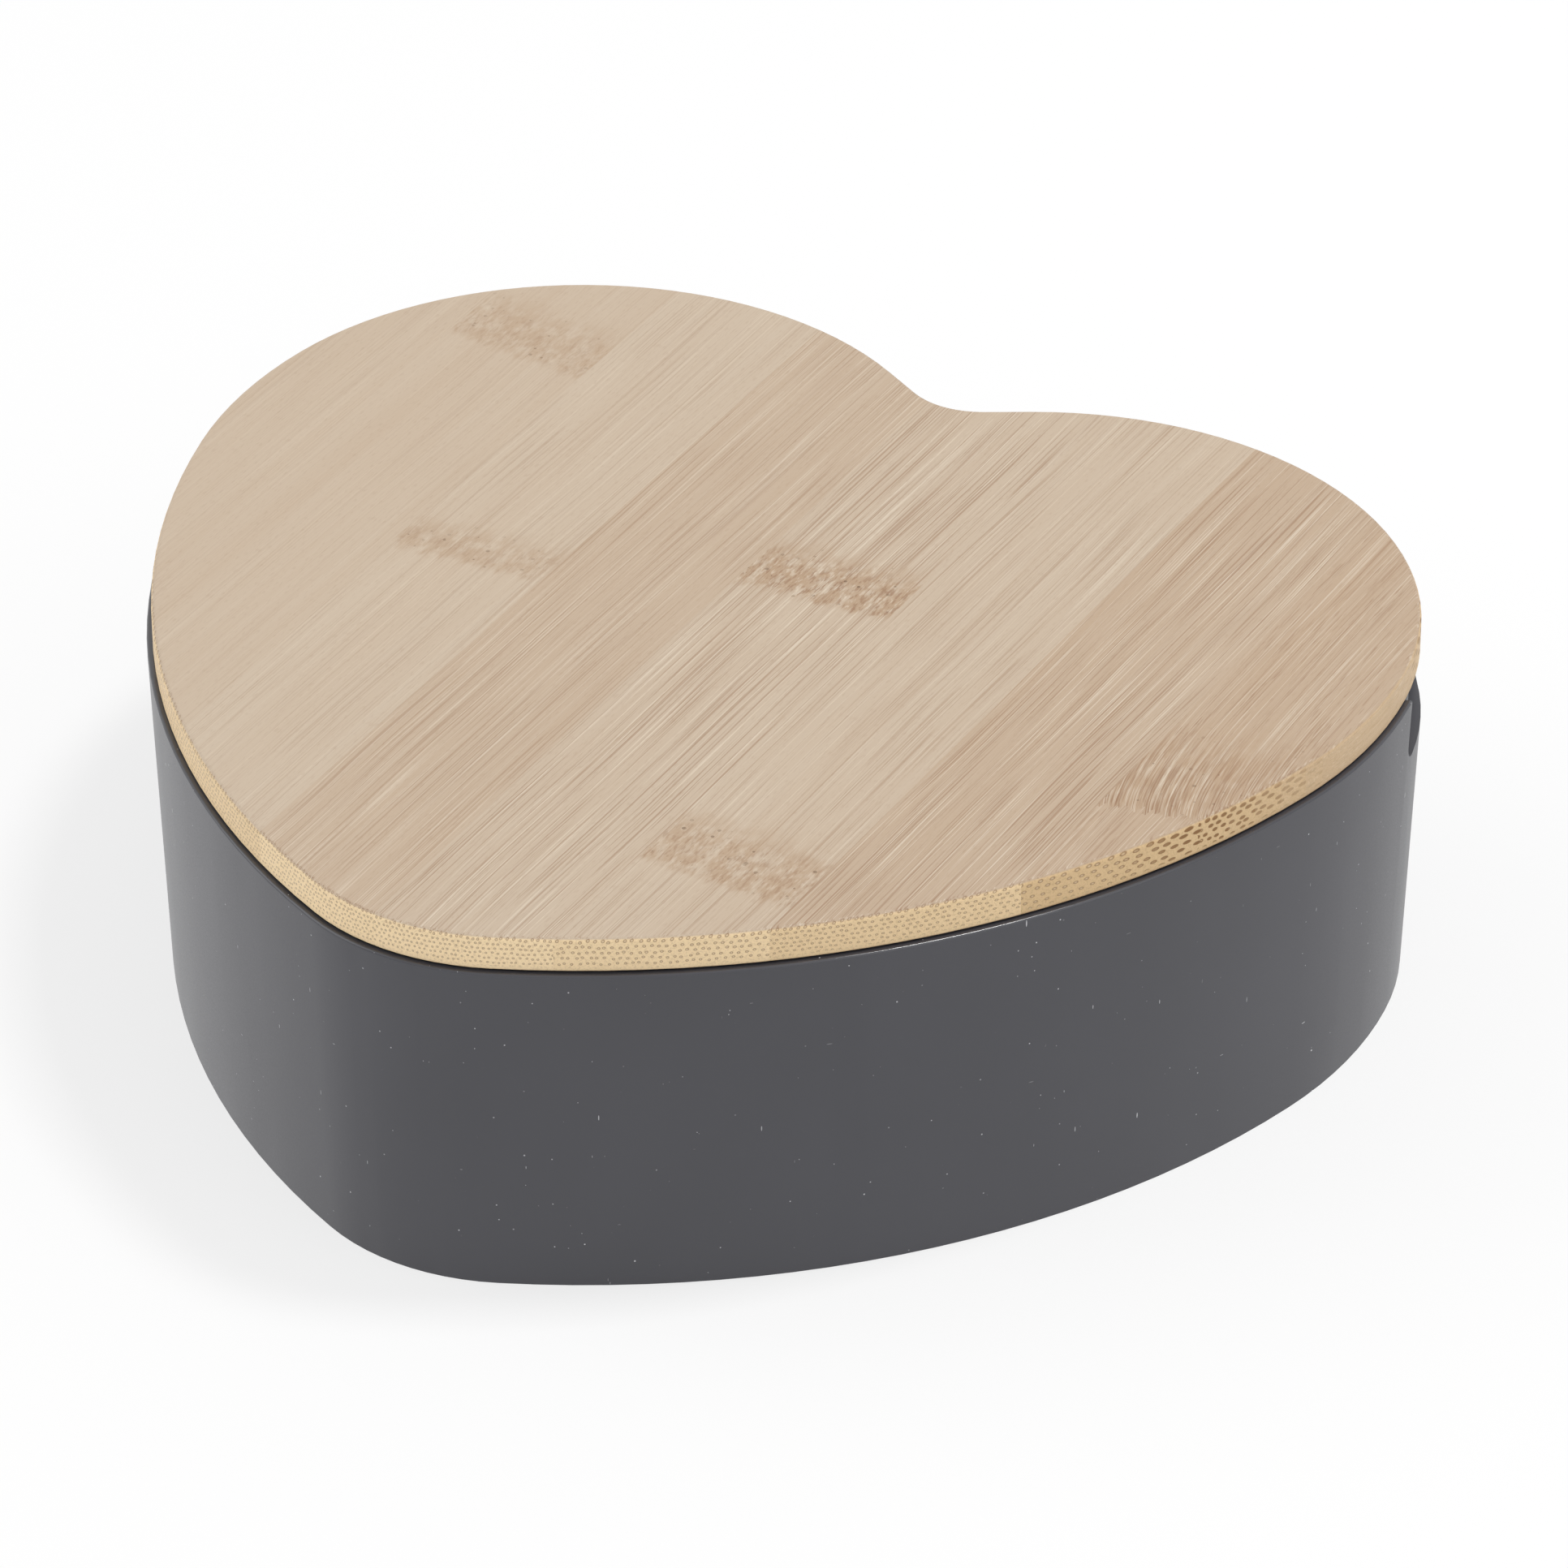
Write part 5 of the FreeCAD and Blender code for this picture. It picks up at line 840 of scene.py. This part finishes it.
class MUSICBOX_OT_lid(bpy.types.Operator):
    """Bamboo board of glued strips, with its locating ring"""
    bl_idname = "music_box.lid"
    bl_label = "Lid"

    def execute(self, context):
        colours = context.scene.music_box_colours
        sizes = context.scene.music_box_sizes
        board = take("lid_board")
        low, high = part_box("lid_board")
        first = math.ceil((low.x - sizes.first_joint) / sizes.strip_width)
        last = math.floor((high.x - sizes.first_joint) / sizes.strip_width)
        for number in range(first, last + 1):
            seam = sizes.first_joint + number * sizes.strip_width
            for step in (-sizes.seam_width, 0, sizes.seam_width):
                everything = board.verts[:] + board.edges[:] + board.faces[:]
                bmesh.ops.bisect_plane(board, geom=everything, dist=1e-7,
                                       plane_co=(seam + step, 0, 0), plane_no=(1, 0, 0))
            board.normal_update()
            bottom = [vert for vert in board.verts if abs(vert.co.x - seam) < 2 * MERGE]
            for vert in bottom:
                bmesh.ops.translate(board, verts=[vert], vec=-sizes.seam_depth * vert.normal)
        show(board, "bamboo_board", bamboo_material(colours, sizes), "lid", "bamboo", "lid_board")
        ring = plastic_material("ABS ring, moulded black", colours.tray_black, roughness=0.5, grit=0.2)
        eased("lid_ring", "locating_ring", sizes.moulded_edge, ring)
        return {"FINISHED"}


class MUSICBOX_OT_shell(bpy.types.Operator):
    """Satin outer shell and the base plate in it"""
    bl_idname = "music_box.shell"
    bl_label = "Shell and base"

    def execute(self, context):
        colours = context.scene.music_box_colours
        sizes = context.scene.music_box_sizes
        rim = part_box("outer_shell")[1].z / MM
        satin = plastic_material("ABS shell, satin moulded", colours.shell_grey, roughness=0.36, grit=0.25,
                                 dust=DUST, lint=colours.dust, polish=rim - sizes.rim_edge / MM)
        eased("outer_shell", "satin_shell", sizes.rim_edge, satin, segments=3)
        base = plastic_material("ABS base, moulded", colours.base_grey, roughness=0.5, grit=0.3)
        eased("base_plate", "base_floor", sizes.moulded_edge, base)
        return {"FINISHED"}


class MUSICBOX_OT_tray(bpy.types.Operator):
    """Flocked tray with its compartments"""
    bl_idname = "music_box.tray"
    bl_label = "Tray"

    def execute(self, context):
        colours = context.scene.music_box_colours
        sizes = context.scene.music_box_sizes
        eased("liner_tray", "flocked_tray", sizes.moulded_edge, flock_material(colours), segments=3)
        return {"FINISHED"}


class MUSICBOX_OT_movement(bpy.types.Operator):
    """Cast frames, wheels, comb and springs of the movement"""
    bl_idname = "music_box.movement"
    bl_label = "Movement"

    def execute(self, context):
        colours = context.scene.music_box_colours
        sizes = context.scene.music_box_sizes
        zinc = metal_material("Zinc, die cast and tumbled", colours.zinc, roughness=0.42, spacing=0.6,
                              run=0.6, tarnish=0.3)
        for node in ("bedplate", "barrel_bridge", "end_bracket", "governor_frame", "stop_bracket"):
            eased(node, node + "_casting", sizes.cast_edge, zinc)
        brass = metal_material("Brass, turned", colours.brass, roughness=0.24, spacing=0.12, run=4.0,
                               tarnish=0.25)
        for node in ("pinned_cylinder", "cylinder_pinion", "cylinder_gear", "crown_wheel", "barrel_drum",
                     "governor_pinion", "worm_wheel"):
            paint(node, brass)
        steel = metal_material("Steel, turned and polished", colours.steel, roughness=0.22, spacing=0.1,
                               run=3.0)
        for node in ("cylinder_arbor", "winding_arbor", "governor_arbor", "worm_shaft", "ratchet_wheel",
                     "click", "click_pin", "stop_arm"):
            paint(node, steel)
        ground = metal_material("Comb steel, ground and hardened", colours.steel, roughness=0.3,
                                spacing=0.06, run=6.0)
        paint("comb", ground)
        blued = metal_material("Spring steel, blued", colours.blued, roughness=0.28, spacing=0.1, run=5.0)
        for node in ("mainspring", "click_spring"):
            paint(node, blued)
        # The stop spring stands on its bracket, on no body
        coil = show(take("stop_spring"), "stop_coil", blued, None, slot_of("stop_spring"), "stop_spring")
        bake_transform(coil)
        nylon = plastic_material("Nylon fan, moulded", colours.nylon, roughness=0.45, grit=0.2)
        paint("air_fan", nylon)
        eased("stop_bushing", "guide_bush", sizes.turned_edge, brass)
        eased("stop_plunger", "stop_rod", sizes.turned_edge, steel)
        return {"FINISHED"}


class MUSICBOX_OT_key(bpy.types.Operator):
    """Winding key under the base"""
    bl_idname = "music_box.key"
    bl_label = "Winding key"

    def execute(self, context):
        colours = context.scene.music_box_colours
        sizes = context.scene.music_box_sizes
        nickel = metal_material("Nickel plate on a casting", colours.nickel, roughness=0.2, spacing=0.4,
                                run=0.4, tarnish=0.12)
        eased("winding_key", "butterfly_key", sizes.key_edge, nickel, segments=3)
        return {"FINISHED"}


class MUSICBOX_OT_screws(bpy.types.Operator):
    """Pan head screws of the case and the movement"""
    bl_idname = "music_box.screws"
    bl_label = "Screws"

    def execute(self, context):
        colours = context.scene.music_box_colours
        plated = metal_material("Screw steel, zinc plated", colours.steel, roughness=0.3, spacing=0.2,
                                run=0.5, tarnish=0.2)
        for node in ("base_screws", "movement_screws", "lid_screws", "frame_screws", "comb_screws"):
            shape = bmesh.new()
            for place in screw_places(node):
                pan_screw(shape, *place)
            show(shape, "pan_" + node, plated, body_of(node), slot_of(node), node)
        return {"FINISHED"}


class MUSICBOX_OT_stage(bpy.types.Operator):
    """Pale floor, soft light and the camera"""
    bl_idname = "music_box.stage"
    bl_label = "Stage"

    def execute(self, context):
        scene = context.scene
        sizes = scene.music_box_sizes
        scene.view_settings.view_transform = "Standard"

        floor = bmesh.new()
        bmesh.ops.create_grid(floor, x_segments=1, y_segments=1, size=sizes.floor_span / 2)
        bmesh.ops.translate(floor, verts=floor.verts, vec=(0, 0, -sizes.floor_drop))
        mesh = bpy.data.meshes.new("studio_floor")
        floor.to_mesh(mesh)
        floor.free()
        mesh.materials.append(floor_material(scene.music_box_colours))
        piece = bpy.data.objects.new("studio_floor", mesh)
        scene.collection.objects.link(piece)

        world = bpy.data.worlds.new("Studio")
        world.use_nodes = True
        tree = world.node_tree
        tree.nodes.clear()
        level = add(tree, "MapRange", inputs={
            "Value": plain_view(tree, 1.0), "To Min": SURROUNDING_LIGHT, "To Max": 1.0}).outputs[0]
        glow = add(tree, "Background", inputs={"Color": (1, 1, 1, 1), "Strength": level})
        add(tree, "OutputWorld", inputs={"Surface": glow.outputs[0]})
        scene.world = world

        for name, size, power, spot in LAMPS:
            lamp = bpy.data.lights.new(name, "AREA")
            lamp.size = size
            lamp.energy = power
            item = bpy.data.objects.new(name, lamp)
            item.location = spot
            item.rotation_euler = (-Vector(spot)).to_track_quat("-Z", "Y").to_euler()
            scene.collection.objects.link(item)

        lens = bpy.data.cameras.new("camera")
        lens.lens = sizes.camera_lens
        lens.sensor_width = SENSOR_WIDTH
        camera = bpy.data.objects.new("camera", lens)
        turn = Matrix.Rotation(sizes.camera_heading, 4, "Z") @ Matrix.Rotation(
            math.pi / 2 - sizes.camera_rise, 4, "X")
        back = turn @ Matrix.Translation((0, 0, sizes.camera_distance))
        camera.matrix_world = Matrix.Translation(sizes.camera_aim) @ back
        scene.collection.objects.link(camera)
        scene.camera = camera
        return {"FINISHED"}


class MUSICBOX_PT_panel(bpy.types.Panel):
    """Lists the steps that dress the music box"""
    bl_idname = "MUSICBOX_PT_panel"
    bl_label = "Heart music box"
    bl_space_type = "VIEW_3D"
    bl_region_type = "UI"
    bl_category = "Music box"

    def draw(self, context):
        for step in STEPS:
            self.layout.operator(step.bl_idname)


STEPS = (MUSICBOX_OT_lid, MUSICBOX_OT_shell, MUSICBOX_OT_tray, MUSICBOX_OT_movement, MUSICBOX_OT_key,
         MUSICBOX_OT_screws, MUSICBOX_OT_stage)
CLASSES = (MusicBoxColours, MusicBoxSizes) + STEPS + (MUSICBOX_PT_panel,)


def register():
    for item in CLASSES:
        bpy.utils.register_class(item)
    bpy.types.Scene.music_box_colours = bpy.props.PointerProperty(type=MusicBoxColours)
    bpy.types.Scene.music_box_sizes = bpy.props.PointerProperty(type=MusicBoxSizes)


def unregister():
    del bpy.types.Scene.music_box_sizes
    del bpy.types.Scene.music_box_colours
    for item in reversed(CLASSES):
        bpy.utils.unregister_class(item)


def main():
    register()
    bpy.ops.music_box.lid()
    bpy.ops.music_box.shell()
    bpy.ops.music_box.tray()
    bpy.ops.music_box.movement()
    bpy.ops.music_box.key()
    bpy.ops.music_box.screws()
    bpy.ops.music_box.stage()


if __name__ == "__main__":
    main()
